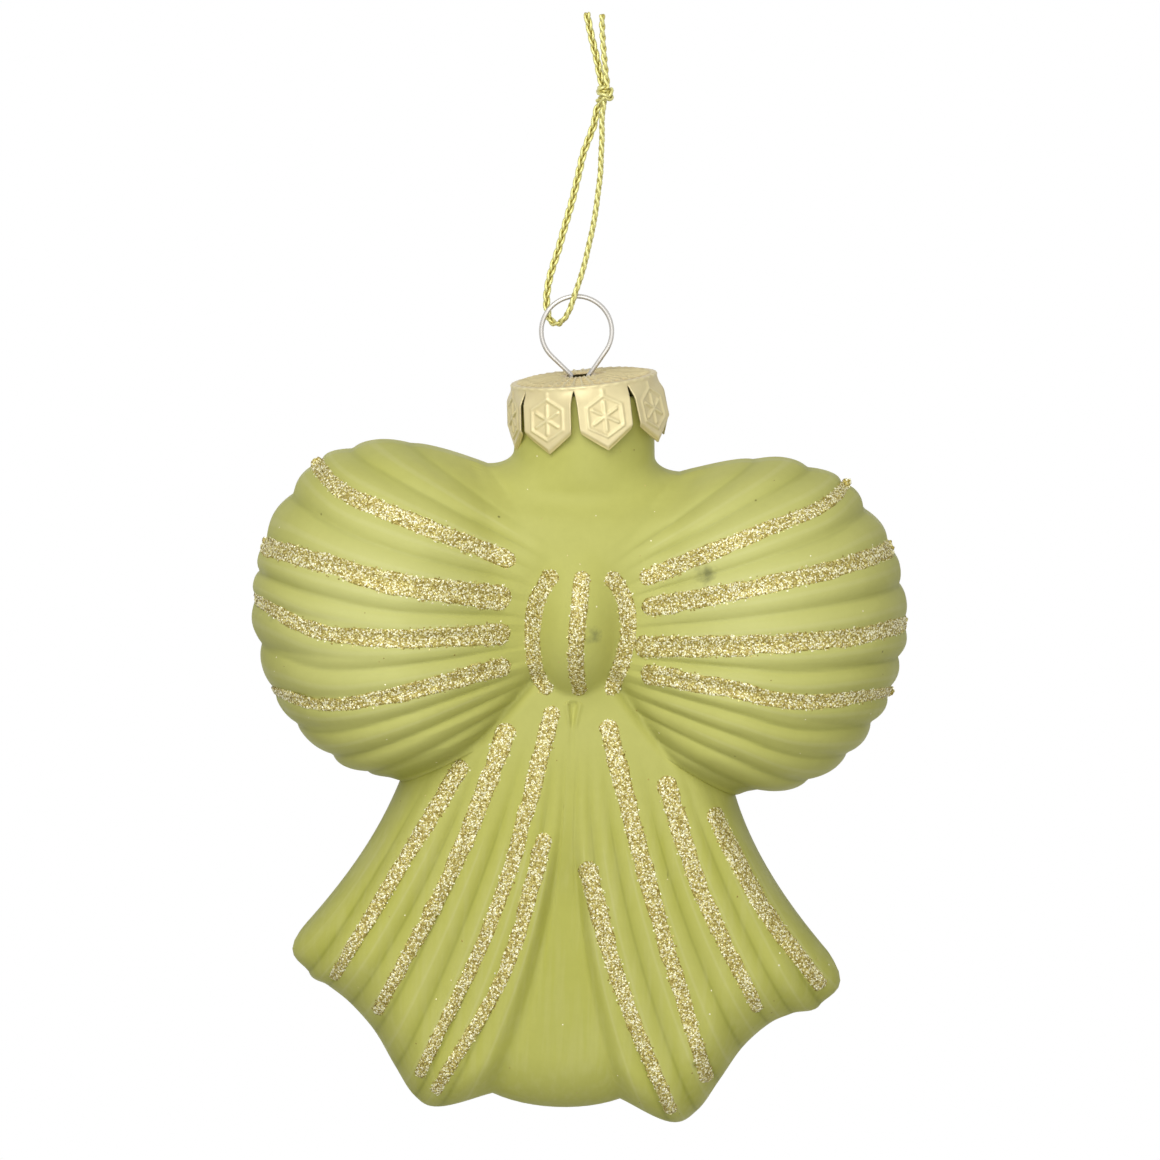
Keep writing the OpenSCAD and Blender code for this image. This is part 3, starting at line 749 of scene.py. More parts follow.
def bumped(tree, shader, height, strength, distance):
    inputs = {"Height": height, "Strength": strength, "Distance": distance}
    tree.links.new(node(tree, "ShaderNodeBump", inputs).outputs[0], shader.inputs["Normal"])


def object_coords(tree):
    return node(tree, "ShaderNodeTexCoord").outputs["Object"]


def attribute(tree, name):
    return node(tree, "ShaderNodeAttribute", attribute_name=name).outputs["Fac"]


def near(tree, coords, centre, radius):
    """1 at a place on the glass, falling to 0 at a radius."""
    far = node(tree, "ShaderNodeVectorMath", {0: coords, 1: centre}, operation="DISTANCE").outputs["Value"]
    return ranged(tree, far, 0, radius, 1, 0)


def times(tree, a, b):
    return node(tree, "ShaderNodeMath", {0: a, 1: b}, operation="MULTIPLY").outputs[0]


def stretched(tree, coords, scale):
    return node(tree, "ShaderNodeVectorMath", {0: coords, 1: scale}, operation="MULTIPLY").outputs[0]


# Materials

# Smudges and rubs on the front: place as it shows, and reach
SMUDGES = [((16.4, 10), 3), ((2.3, 1.4), 2.4), ((-39.5, 2.6), 2.2), ((18.5, -54.5), 1.8)]

# Painted sheen on the middle of each loop: place as it shows, and reach
SHEEN_PATCHES = [((22, 8), 20), ((-27, 4), 18)]

# Heights between which the streaked tails pass into the upper part with painted sheen, in metres
TAILS_BELOW = (-0.095, -0.082)

# Tints of the lacquer, in 0 to 255
CREST_HIGHLIGHT = (222, 220, 156)
GROOVE_SHADE = (146, 148, 54)
STREAK = (218, 216, 150)
UPPER_SHEEN = (212, 211, 142)
CLOUD = (214, 212, 148)
GRAIN = (160, 160, 72)
SHEEN_TINT = (228, 229, 156)
SMUDGE = (118, 120, 80)
SPECK = (110, 104, 50)
DASH = (112, 108, 58)

# Tints of the other finishes
GLASS_HAZE = (120, 122, 82)
GRIT_DARK = (150, 130, 48)
GRIT_LIGHT = (208, 194, 112)
BEVEL_REFLECTION = (206, 190, 108)
DISC_SHADE = (202, 176, 128)
DULL_GOLD = (208, 188, 140)
DULL_STEEL = (196, 192, 186)
YARN_GLINT = (204, 188, 92)


def on_front(bow, place):
    """The point of the glass that shows at a place."""
    x, z = np.array([place[0]], float), np.array([place[1]], float)
    z = z + lift_of(partial(front_depth, bow), x, z)
    return to_row([x[0], -front_depth(bow, x, z)[0], z[0]])


def lacquer(settings, bow):
    """Satin lacquer: painted highlight on crests, painted shade in grooves and hollows, painted sheen on
    the upper part and the middle of the loops, with smudges and specks from handling.
    """
    material, tree, shader = new_material("satin_lacquer", Roughness=0.48, Specular_IOR_Level=0.16)
    coords = object_coords(tree)
    crest = attribute(tree, "crest")
    # Painted shade: the colour goes from the ridge colour on crests to the darker groove colour in grooves
    # and hollows
    colour = mixed(tree, crest, rgba(settings.groove), rgba(settings.ridge))
    # Painted highlight along the crests
    colour = tinted(tree, colour, ranged(tree, crest, 0.96, 1, 0, 0.3), CREST_HIGHLIGHT)
    # Painted shade in the bottom of the grooves
    colour = tinted(tree, colour, ranged(tree, crest, 0.02, 0.3, 0.4, 0), GROOVE_SHADE)
    height = node(tree, "ShaderNodeSeparateXYZ", {0: coords}).outputs["Z"]
    on_tails = ranged(tree, height, *TAILS_BELOW, 1, 0)
    streaks = noise(tree, stretched(tree, coords, (1100, 1100, 70)), 1, 2)
    streaks = times(tree, on_tails, ranged(tree, streaks, 0.45, 0.7, 0, 0.18))
    colour = tinted(tree, colour, streaks, STREAK)
    # Painted sheen: the upper part, above the tails, is paler
    colour = tinted(tree, colour, ranged(tree, on_tails, 0, 1, 0.25, 0), UPPER_SHEEN)
    cloud = ranged(tree, noise(tree, coords, 55, 3), 0.3, 0.7, 0, 0.16)
    colour = tinted(tree, colour, cloud, CLOUD)
    fine = ranged(tree, noise(tree, coords, 700, 4, 0.6), 0.35, 0.75, 0, 0.1)
    colour = tinted(tree, colour, fine, GRAIN)
    # Painted sheen on the middle of each loop
    for place, reach in SHEEN_PATCHES:
        pale = ranged(tree, near(tree, coords, on_front(bow, place), reach * MM), 0, 0.8, 0, 0.4)
        colour = tinted(tree, colour, pale, SHEEN_TINT)
    for place, reach in SMUDGES:
        spot = near(tree, coords, on_front(bow, place), reach * MM)
        patch = times(tree, spot, noise(tree, coords, 900, 4))
        colour = tinted(tree, colour, ranged(tree, patch, 0.2, 0.5, 0, 0.7), SMUDGE)
    cells = node(tree, "ShaderNodeTexVoronoi", {"Vector": coords, "Scale": 210})
    rare = ranged(tree, cells.outputs["Color"], 0.72, 0.74, 0, 1)
    dot = ranged(tree, cells.outputs["Distance"], 0.02, 0.05, 0.8, 0)
    colour = tinted(tree, colour, times(tree, rare, dot), SPECK)
    long_cells = stretched(tree, coords, (420, 420, 110))
    dashes = node(tree, "ShaderNodeTexVoronoi", {"Vector": long_cells, "Scale": 1.0})
    rare = ranged(tree, dashes.outputs["Color"], 0.8, 0.81, 0, 1)
    dash = times(tree, on_tails, ranged(tree, dashes.outputs["Distance"], 0.03, 0.08, 0.5, 0))
    colour = tinted(tree, colour, times(tree, rare, dash), DASH)
    tree.links.new(colour, shader.inputs["Base Color"])
    gloss = ranged(tree, noise(tree, coords, 160, 3), 0.3, 0.7, 0.44, 0.56)
    tree.links.new(gloss, shader.inputs["Roughness"])
    bumped(tree, shader, noise(tree, coords, 1400, 3), 0.15, 0.00005)
    return material


def bare_glass(settings):
    """Dull bare glass inside the bow, painted dark as the shade in the closed hollow."""
    material, tree, shader = new_material("bare_glass", Roughness=0.3)
    shade = noise(tree, object_coords(tree), 120, 3)
    colour = tinted(tree, rgba(settings.inside), shade, GLASS_HAZE)
    tree.links.new(colour, shader.inputs["Base Color"])
    return material


def glitter_grit():
    """Gold grit between the flakes of a glitter line."""
    material, tree, shader = new_material("glitter_grit", Roughness=0.5, Metallic=0.3)
    cells = node(tree, "ShaderNodeTexVoronoi", {"Vector": object_coords(tree), "Scale": 3600})
    colour = tinted(tree, rgba(paint(*GRIT_DARK)), cells.outputs["Color"], GRIT_LIGHT)
    tree.links.new(colour, shader.inputs["Base Color"])
    return material


def glitter_flake(settings):
    """Metal flakes, each with a random tone from painted shade to painted glint."""
    material, tree, shader = new_material("glitter_flake", Roughness=0.3, Metallic=0.35)
    # Painted shade and painted glint, picked at random for each flake
    ramp = node(tree, "ShaderNodeValToRGB", {0: attribute(tree, "tone")}).color_ramp
    stops = [(0.0, settings.dark), (0.2, settings.dark), (0.45, settings.middle), (0.8, settings.bright)]
    ramp.elements[0].position, ramp.elements[0].color = stops[0][0], rgba(stops[0][1])
    ramp.elements[1].position, ramp.elements[1].color = stops[-1][0], rgba(stops[-1][1])
    for position, colour in stops[1:-1]:
        ramp.elements.new(position).color = rgba(colour)
    colour = tree.nodes["Color Ramp"].outputs[0]
    shine = times(tree, noise(tree, object_coords(tree), 9000, 1), 0.3)
    colour = mixed(tree, shine, colour, rgba(settings.middle))
    tree.links.new(colour, shader.inputs["Base Color"])
    return material


def stamped_gold(settings):
    """Champagne gold foil sheet, painted paler as a highlight where the stamp raised it, with painted
    reflection on the bevelled feet and painted shade over the disc, deepest in its low spots.
    """
    material, tree, shader = new_material("stamped_gold", Roughness=0.5, Metallic=0.2)
    coords = object_coords(tree)
    # Painted highlight on the raised parts of the stamp
    raised = ranged(tree, attribute(tree, "raised"), 0.2, 0.9, 0, 0.7)
    colour = mixed(tree, raised, rgba(settings.gold), rgba(settings.raised_highlight))
    # Painted reflection on the bevelled feet of the tabs
    bevel = ranged(tree, attribute(tree, "raised"), -0.9, -0.2, 0.55, 0)
    colour = tinted(tree, colour, bevel, BEVEL_REFLECTION)
    # Painted shade over the disc, deepest in its low spots
    low = ranged(tree, attribute(tree, "raised"), 0, 0.5, 0.75, 0.2)
    colour = tinted(tree, colour, times(tree, attribute(tree, "disc"), low), DISC_SHADE)
    cloud = ranged(tree, noise(tree, coords, 500, 4), 0.35, 0.7, 0, 0.3)
    colour = tinted(tree, colour, cloud, DULL_GOLD)
    tree.links.new(colour, shader.inputs["Base Color"])
    gloss = ranged(tree, noise(tree, coords, 900, 3), 0.3, 0.7, 0.32, 0.5)
    tree.links.new(gloss, shader.inputs["Roughness"])
    bumped(tree, shader, noise(tree, coords, 2600, 2), 0.2, 0.00004)
    return material


def drawn_steel(settings):
    """Bright drawn wire with dull stretches."""
    material, tree, shader = new_material("drawn_steel", Roughness=0.35, Metallic=0.6)
    dull = noise(tree, object_coords(tree), 90, 2)
    tree.links.new(tinted(tree, rgba(settings.steel), dull, DULL_STEEL), shader.inputs["Base Color"])
    tree.links.new(ranged(tree, dull, 0.3, 0.7, 0.32, 0.38), shader.inputs["Roughness"])
    return material


def metal_yarn(settings):
    """Gold metal yarn: painted light where a strand lies on top, painted olive shade where it dips under
    the next.
    """
    material, tree, shader = new_material("metal_yarn", Roughness=0.34, Metallic=0.5)
    top = ranged(tree, attribute(tree, "top"), 0.15, 0.85, 0, 1)
    colour = mixed(tree, top, rgba(settings.shade), rgba(settings.light))
    glint = ranged(tree, noise(tree, object_coords(tree), 5200, 2), 0.35, 0.65, 0, 0.4)
    colour = tinted(tree, colour, glint, YARN_GLINT)
    tree.links.new(colour, shader.inputs["Base Color"])
    return material


# Geometry node trees

# A flake's proportions, and the range of sizes as shares of the largest
FLAKE_SHAPE = (1, 0.85, 0.3)
FLAKE_SIZES = (0.55, 1)
SIZE_SEED = 11
TONE_SEED = 23
WIRE_SIDES = 16
# Distances in metres under which points become one
TAB_MERGE = 2e-5
SKIN_MERGE = 2e-6


def new_tree(name, inputs):
    """A geometry node tree with named inputs, and its input and output nodes."""
    tree = bpy.data.node_groups.new(name, "GeometryNodeTree")
    tree.interface.new_socket(name="Geometry", in_out="INPUT", socket_type="NodeSocketGeometry")
    for socket_name, kind in inputs.items():
        tree.interface.new_socket(name=socket_name, in_out="INPUT", socket_type=kind)
    tree.interface.new_socket(name="Geometry", in_out="OUTPUT", socket_type="NodeSocketGeometry")
    return tree, node(tree, "NodeGroupInput"), node(tree, "NodeGroupOutput")


def evaluated_mesh(source):
    """The plain mesh of an object with its modifiers, which is removed."""
    graph = bpy.context.evaluated_depsgraph_get()
    mesh = bpy.data.meshes.new_from_object(
        source.evaluated_get(graph), preserve_all_data_layers=True, depsgraph=graph)
    if not mesh.polygons:
        raise RuntimeError(f"nothing was made of {source.name}")
    source.modifiers.clear()
    bpy.data.objects.remove(source)
    return mesh


def run_tree(source, tree, values):
    """The plain mesh that a tree makes of an object, which is removed."""
    modifier = source.modifiers.new(tree.name, "NODES")
    modifier.node_group = tree
    for item in tree.interface.items_tree:
        if item.in_out == "INPUT" and item.name in values:
            modifier[item.identifier] = values[item.name]
    return evaluated_mesh(source)


def flake_tree():
    """Scatters small bipyramid flakes over a mesh, and takes its loose faces away under them."""
    tree, given, made = new_tree("glitter_flakes", {
        "Density": "NodeSocketFloat", "Flake": "NodeSocketFloat", "Tilt": "NodeSocketFloat",
        "Seed": "NodeSocketInt", "Flake Material": "NodeSocketMaterial"})
    cover = node(tree, "GeometryNodeInputNamedAttribute", {"Name": "cover"}, data_type="FLOAT").outputs[0]
    density = times(tree, given.outputs["Density"], cover)
    points = node(tree, "GeometryNodeDistributePointsOnFaces", {
        "Mesh": given.outputs["Geometry"], "Density": density, "Seed": given.outputs["Seed"]})
    plate = node(tree, "GeometryNodeMeshUVSphere", {"Segments": 4, "Rings": 2, "Radius": 0.5})
    plate = node(tree, "GeometryNodeTransform", {"Geometry": plate.outputs["Mesh"], "Scale": FLAKE_SHAPE})
    spread = node(tree, "ShaderNodeVectorMath", {
        0: given.outputs["Tilt"], 1: (0, 0, math.pi)}, operation="ADD")
    back = node(tree, "ShaderNodeVectorMath", {0: spread.outputs[0], "Scale": -1}, operation="SCALE")
    turn = node(tree, "FunctionNodeRandomValue", {
        0: back.outputs[0], 1: spread.outputs[0], "Seed": given.outputs["Seed"]}, data_type="FLOAT_VECTOR")
    turned = node(tree, "FunctionNodeRotateRotation", {
        "Rotation": points.outputs["Rotation"], "Rotate By": turn.outputs[0]}, rotation_space="LOCAL")
    size = node(tree, "FunctionNodeRandomValue", {
        2: FLAKE_SIZES[0], 3: FLAKE_SIZES[1], "Seed": SIZE_SEED}, data_type="FLOAT")
    size = times(tree, size.outputs[1], given.outputs["Flake"])
    flakes = node(tree, "GeometryNodeInstanceOnPoints", {
        "Points": points.outputs["Points"], "Instance": plate.outputs[0],
        "Rotation": turned.outputs[0], "Scale": size})
    tone = node(tree, "FunctionNodeRandomValue", {2: 0.0, 3: 1.0, "Seed": TONE_SEED}, data_type="FLOAT")
    toned = node(tree, "GeometryNodeStoreNamedAttribute", {
        "Geometry": flakes.outputs[0], "Name": "tone", "Value": tone.outputs[1]},
        data_type="FLOAT", domain="INSTANCE")
    real = node(tree, "GeometryNodeRealizeInstances", {"Geometry": toned.outputs[0]})
    flat = node(tree, "GeometryNodeSetShadeSmooth", {"Geometry": real.outputs[0], "Shade Smooth": False})
    painted = node(tree, "GeometryNodeSetMaterial", {
        "Geometry": flat.outputs[0], "Material": given.outputs["Flake Material"]})
    loose = node(tree, "GeometryNodeInputNamedAttribute", {"Name": "loose"}, data_type="FLOAT").outputs[0]
    kept = node(tree, "GeometryNodeDeleteGeometry", {
        "Geometry": given.outputs["Geometry"], "Selection": loose}, domain="FACE")
    joined = node(tree, "GeometryNodeJoinGeometry")
    tree.links.new(painted.outputs[0], joined.inputs[0])
    tree.links.new(kept.outputs[0], joined.inputs[0])
    tree.links.new(joined.outputs[0], made.inputs[0])
    return tree


def wire_tree():
    """A round wire along a curve, with closed ends."""
    tree, given, made = new_tree("bent_wire", {
        "Radius": "NodeSocketFloat", "Material": "NodeSocketMaterial"})
    profile = node(tree, "GeometryNodeCurvePrimitiveCircle", {
        "Resolution": WIRE_SIDES, "Radius": given.outputs["Radius"]})
    swept = node(tree, "GeometryNodeCurveToMesh", {
        "Curve": given.outputs["Geometry"], "Profile Curve": profile.outputs[0], "Fill Caps": True})
    real = node(tree, "GeometryNodeRealizeInstances", {"Geometry": swept.outputs[0]})
    painted = node(tree, "GeometryNodeSetMaterial", {
        "Geometry": real.outputs[0], "Material": given.outputs["Material"]})
    tree.links.new(painted.outputs[0], made.inputs[0])
    return tree


def tab_tree():
    """Repeats one tab round the cap's axis and joins the copies to the band above them."""
    tree, given, made = new_tree("cap_tabs", {
        "Tab": "NodeSocketObject", "Count": "NodeSocketInt", "Turn": "NodeSocketFloat",
        "Material": "NodeSocketMaterial"})
    tab = node(tree, "GeometryNodeObjectInfo", {"Object": given.outputs["Tab"]})
    spots = node(tree, "GeometryNodePoints", {"Count": given.outputs["Count"]})
    index = node(tree, "GeometryNodeInputIndex")
    step = node(tree, "ShaderNodeMath", {0: math.tau, 1: given.outputs["Count"]}, operation="DIVIDE")
    angle = node(tree, "ShaderNodeMath", {
        0: index.outputs[0], 1: step.outputs[0], 2: given.outputs["Turn"]}, operation="MULTIPLY_ADD")
    turn = node(tree, "ShaderNodeCombineXYZ", {"Z": angle.outputs[0]})
    copies = node(tree, "GeometryNodeInstanceOnPoints", {
        "Points": spots.outputs[0], "Instance": tab.outputs["Geometry"], "Rotation": turn.outputs[0]})
    real = node(tree, "GeometryNodeRealizeInstances", {"Geometry": copies.outputs[0]})
    joined = node(tree, "GeometryNodeJoinGeometry")
    tree.links.new(real.outputs[0], joined.inputs[0])
    tree.links.new(given.outputs["Geometry"], joined.inputs[0])
    merged = node(tree, "GeometryNodeMergeByDistance", {
        "Geometry": joined.outputs[0], "Distance": TAB_MERGE})
    painted = node(tree, "GeometryNodeSetMaterial", {
        "Geometry": merged.outputs[0], "Material": given.outputs["Material"]})
    tree.links.new(painted.outputs[0], made.inputs[0])
    return tree


# Glass bow

NECK_ROWS = 30
FAN_ROWS = 176
TAIL_ROWS = 52
WEB_COLUMNS = 6
FLUTE_COLUMNS = 8
EDGE_COLUMNS = (0.06, 0.02)
# The inside has fewer rows, by these parts
INSIDE_PARTS = (2, 5, 4)
# Where the neck grows round out of the hub, and the turn under which the columns draw to the flutes
NECK_START = 20
NECK_JOIN = 0.6
FLUTES_TURN = -12


def neck_outline(u):
    """The outline from the valley beside the shoulder, through its fillet, up the neck."""
    angle = math.radians(VALLEY_ANGLE)
    valley = np.array(FAN) + LOOP_RIM[-1][1] * np.array((math.cos(angle), math.sin(angle)))
    bend = np.clip(u / FILLET_SHARE, 0, 1) * math.pi / 2
    x = NECK_RADIUS[0] + (valley[0] - NECK_RADIUS[0]) * (1 - np.sin(bend))
    z = NECK_FOOT - (NECK_FOOT - valley[1]) * np.cos(bend)
    climb = np.clip((u - FILLET_SHARE) / (1 - FILLET_SHARE), 0, 1)
    return lerp(x, NECK_RADIUS[1], climb), lerp(z, NECK_TOP, climb)


def flute_columns():
    web = np.linspace(-1, 0, WEB_COLUMNS, endpoint=False)
    flutes = np.linspace(0, FLUTES, FLUTES * FLUTE_COLUMNS + 1)
    edge = FLUTES - np.array(EDGE_COLUMNS)
    return np.sort(np.concatenate([web, flutes, edge]))


def half_grid(half, rows):
    """Points of one half's front: rows from the neck's rim down to the foot, columns from the axis out."""
    neck_rows, fan_rows, tail_rows = rows
    k = flute_columns()
    count = len(k)
    even = np.sin(np.linspace(0, math.pi / 2, count))
    tail = half.tail
    crease_x = np.where(k < 0, (k + 1) * tail.top[0], through(tail.top, np.maximum(k, 0)))
    xs, zs, depths = [], [], []
    axis_z = FAN[1] - FAN[0] * math.tan(math.radians(VALLEY_ANGLE))
    for u in np.linspace(1, 0, neck_rows, endpoint=False):
        end_x, end_z = neck_outline(u)
        x = even * end_x
        z = lerp(lerp(axis_z, NECK_TOP, u), end_z, even)
        radius = lerp(*NECK_RADIUS, ease(NECK_FOOT, NECK_TOP, z))
        radius = lerp(hub_reach(z), radius, ease(NECK_START, NECK_FOOT, z))
        round_neck = radius * np.sqrt(np.clip(1 - even ** 2, 0, 1))
        body = upper_depth(x, z, even, 0, tail)
        xs.append(x)
        zs.append(z)
        depths.append(lerp(body, round_neck, ease(0, NECK_JOIN, u)))
    for turn in np.linspace(VALLEY_ANGLE, CREASE_ANGLE, fan_rows):
        share = lerp(crease_x / tail.top[-1], even, ease(CREASE_ANGLE, FLUTES_TURN, turn))
        angle = math.radians(turn)
        start = np.array((0, FAN[1] - FAN[0] * math.tan(angle)))
        reach = half.reach(np.array([turn]))[0]
        end = np.array(FAN) + reach * np.array((math.cos(angle), math.sin(angle)))
        x, z = lerp(start[0], end[0], share), lerp(start[1], end[1], share)
        xs.append(x)
        zs.append(z)
        depths.append(upper_depth(x, z, share, half.relief(x, z, share), tail, half.pleat))
    for v in (1 - np.cos(np.linspace(0, math.pi, tail_rows)))[1:] / 2:
        z = lerp(crease_z(crease_x), foot_z(k, tail), v)
        x = tail_x(k, z, tail)
        xs.append(x)
        zs.append(z)
        depths.append(lower_depth(x, z, k, half.pleat, tail) * (v < 1))
    x, z, depth = np.array(xs), np.array(zs), np.array(depths)
    depth[:, -1] = 0
    return x, z, depth


def bow_skin(bow, rows):
    """The bow's outside as a bmesh that is open at the neck's rim."""
    points, faces = [], []
    for side, half in bow.items():
        x, z, depth = half_grid(half, rows)
        for front in (-1, 1):
            flip = side * front < 0
            faces.append(grid_faces(*x.shape, flip, first=sum(map(len, points))))
            points.append(np.stack([side * x, front * depth, z], -1).reshape(-1, 3))
    skin = bmesh.new()
    mesh = new_mesh("bow_skin", to_row(np.concatenate(points)), np.concatenate(faces))
    skin.from_mesh(mesh)
    bpy.data.meshes.remove(mesh)
    bmesh.ops.remove_doubles(skin, verts=skin.verts, dist=SKIN_MERGE)
    return skin


class BOW_OT_make_glass(bpy.types.Operator):
    """Make the hollow glass bow: two pleated loops, the knot, two fluted tails and the neck"""
    bl_idname = "bow.make_glass"
    bl_label = "Glass Bow"

    def execute(self, context):
        settings = context.scene.bow_glass
        bow = halves(settings.pleat / MM)
        rows = (NECK_ROWS, FAN_ROWS, TAIL_ROWS)
        outside = bow_skin(bow, rows)
        inside = bow_skin(halves(0), [count // part for count, part in zip(rows, INSIDE_PARTS)])
        inside.normal_update()
        for vertex in inside.verts:
            at_rim = vertex.is_boundary
            vertex.co -= vertex.normal * settings.wall
            if at_rim:
                vertex.co.z = (NECK_TOP - DROP) * MM
        bmesh.ops.reverse_faces(inside, faces=inside.faces)
        for face in inside.faces:
            face.material_index = 1
        wall = bpy.data.meshes.new("bow_wall")
        inside.to_mesh(wall)
        outside.from_mesh(wall)
        bmesh.ops.bridge_loops(outside, edges=[e for e in outside.edges if e.is_boundary])
        mesh = bpy.data.meshes.new("glass")
        outside.to_mesh(mesh)
        co = np.array([v.co for v in mesh.vertices]) / MM + (0, 0, DROP)
        x, z = co[:, 0], co[:, 2]
        # Crest share, which places the lacquer's painted highlight and painted shade
        crest = np.where(x >= 0, bow[1].crest(np.abs(x), z), bow[-1].crest(np.abs(x), z))
        add_float(mesh, "crest", crest)
        piece = new_piece("lacquered_bow", mesh, [lacquer(settings, bow), bare_glass(settings)])
        carry(piece, "glass", "lacquered_glass", "glass_bow")
        return {"FINISHED"}


# Glitter

# Glue bead of a line: its sides, ring step, sink into the glass and share of the line's width
BEAD_SIDES = 14
BEAD_STEP = 0.4
BEAD_SINK = 0.25
BEAD_SHARE = 0.95
# What is left of a groove under the glue, and how far the glue bridges the knot's folds
GROOVE_LEFT = 0.05
BRIDGE = 0.6
# Strip beside the bead that carries loose flakes
LOOSE_SIDES = 9
LOOSE_REACH = 1.12
LOOSE_COVER = 0.4
LOOSE_FADE = 0.6
SLOPE_STEP = 0.3
EDGE_WANDER = 0.13
LINE_POINTS = 400
# How much closer the rings stand at a line's ends, the least width there, and the bead's section
END_CLOSER = 0.35
END_LEAST = 0.04
WANDER_BLEND = (0.2, 0.3, 0.3, 0.2, 0)
BEAD_POWER = 0.6
BEAD_COVER = (-0.35, 0.1)
# Lean of the flakes off the glass, in radians
LINE_TILT = 0.49
STRAY_TILT = 0.09
STRAY_SIZE = 0.75
STRAY_FACING = (0.2, 0.6)


def surface_normal(depth, x, z):
    step = SLOPE_STEP
    across = (depth(x + step, z) - depth(x - step, z)) / (2 * step)
    up = (depth(x, z + step) - depth(x, z - step)) / (2 * step)
    return unit_rows(-np.stack([across, np.ones_like(x), up], -1))


def draped(depth, x, z, run, out, up):
    """Points beside a line on the glass, lifted off it."""
    x, z = x[:, None] - out * run[:, 1:], z[:, None] + out * run[:, :1]
    points = np.stack([x, -depth(x, z), z], -1)
    return (points + up[..., None] * surface_normal(depth, x, z)).reshape(-1, 3)


def bead_mesh(depth, name, line, widths, rise, wander):
    """The glue bead of a glitter line, laid on the glass, with ragged edges and round ends."""
    x, z = along(line, LINE_POINTS).T
    z = z + lift_of(depth, x, z)
    gone = lengths_along(np.stack([x, -depth(x, z), z], 1))
    rings = int(gone[-1] / BEAD_STEP)
    at = gone[-1] * (1 - np.cos(np.linspace(0, math.pi, rings))) / 2
    at = lerp(np.linspace(0, gone[-1], rings), at, END_CLOSER)
    x, z = np.interp(at, gone, x), np.interp(at, gone, z)
    run = unit_rows(np.stack([np.gradient(x), np.gradient(z)], 1))
    half = lerp(*widths, at / gone[-1]) / 2
    ends = np.maximum(END_LEAST, round_edge(np.minimum(at, gone[-1] - at), half))
    turn = np.arange(BEAD_SIDES) * math.tau / BEAD_SIDES
    waves = wander.normal(size=(2, rings + len(WANDER_BLEND) - 1))
    waves = np.stack([np.convolve(w, WANDER_BLEND, "valid") for w in waves])
    ragged = 1 + EDGE_WANDER * np.where(np.cos(turn) > 0, waves[0][:, None], waves[1][:, None])
    wide = (half * ends)[:, None]
    out = BEAD_SHARE * wide * np.cos(turn) * ragged
    up = np.where(np.sin(turn) > 0, rise * ends[:, None], -BEAD_SINK) * np.abs(np.sin(turn)) ** BEAD_POWER
    bead = draped(depth, x, z, run, out, up)
    share = np.linspace(-1, 1, LOOSE_SIDES)
    loose = draped(depth, x, z, run, -LOOSE_REACH * wide * share, 0 * wide * share)
    first, last = np.arange(BEAD_SIDES), np.arange(BEAD_SIDES) + (rings - 1) * BEAD_SIDES
    faces = [*tube_faces(rings, BEAD_SIDES), first[::-1], last]
    faces += list(grid_faces(rings, LOOSE_SIDES, False, first=len(bead)))
    mesh = new_mesh(name, to_row(np.concatenate([bead, loose])), faces)
    cover = ease(*BEAD_COVER, np.sin(turn)) * np.ones((rings, 1))
    thin = LOOSE_COVER * (1 - ease(LOOSE_FADE, 1, np.abs(share))) * np.ones((rings, 1))
    add_float(mesh, "cover", np.concatenate([cover.ravel(), thin.ravel()]))
    add_float(mesh, "loose", np.repeat([0, 1], [len(bead), len(loose)]))
    return mesh


def line_names():
    groups = {
        "left_loop": (LEFT_LOOP_LINES, LEFT_LOOP_WIDTHS, "1234"),
        "right_loop": (RIGHT_LOOP_LINES, RIGHT_LOOP_WIDTHS, "1234"),
        "knot": (KNOT_LINES, KNOT_WIDTHS, ("left", "centre", "right")),
        "left_tail": (LEFT_TAIL_LINES, LEFT_TAIL_WIDTHS, "1234"),
        "right_tail": (RIGHT_TAIL_LINES, RIGHT_TAIL_WIDTHS, "1234"),
    }
    for group, (lines, widths, ends) in groups.items():
        for line, ends_wide, end in zip(lines, widths, ends):
            yield f"{group}_{end}", line, ends_wide


class BOW_OT_lay_glitter(bpy.types.Operator):
    """Lay the lines of glitter on the loops, the knot and the tails"""
    bl_idname = "bow.lay_glitter"
    bl_label = "Glitter Lines"

    def execute(self, context):
        settings = context.scene.bow_glitter
        pleated, even = halves(context.scene.bow_glass.pleat / MM), halves(0)

        def filled(x, z):
            return np.maximum(front_depth(pleated, x, z), front_depth(even, x, z) - GROOVE_LEFT)

        def bridged(x, z):
            return np.maximum(filled(x, z), (filled(x - BRIDGE, z) + filled(x + BRIDGE, z)) / 2)

        grit, flake = glitter_grit(), glitter_flake(settings)
        tree = flake_tree()
        wander = np.random.default_rng(settings.seed)
        for i, (name, line, widths) in enumerate(line_names()):
            depth = bridged if name.startswith("knot") else filled
            mesh = bead_mesh(depth, name, line, widths, settings.rise / MM, wander)
            bead = new_piece(f"bead_{name}", mesh, [grit])
            mesh = run_tree(bead, tree, {
                "Density": settings.density, "Flake": settings.flake, "Tilt": LINE_TILT,
                "Seed": settings.seed + i, "Flake Material": flake})
            carry(placed(f"flakes_{name}", mesh), "glass", "gold_glitter", f"glitter_{name}")
        return {"FINISHED"}


# Crown cap

def to_cap(points):
    """Places on the cap, measured from the middle of its disc, leaned on the neck."""
    lean = math.radians(-CAP_LEAN)
    x, y, z = np.asarray(points, float).T
    z = z + CAP_ARM
    across = x * math.cos(lean) + z * math.sin(lean)
    height = -x * math.sin(lean) + z * math.cos(lean) + CAP_PIVOT
    return to_row(np.stack([across, y, height], 1))


def skirt_radius(down):
    return CAP_RADIUS + CAP_FLARE * (down - CAP_ROLL) / (CAP_SKIRT - CAP_ROLL)


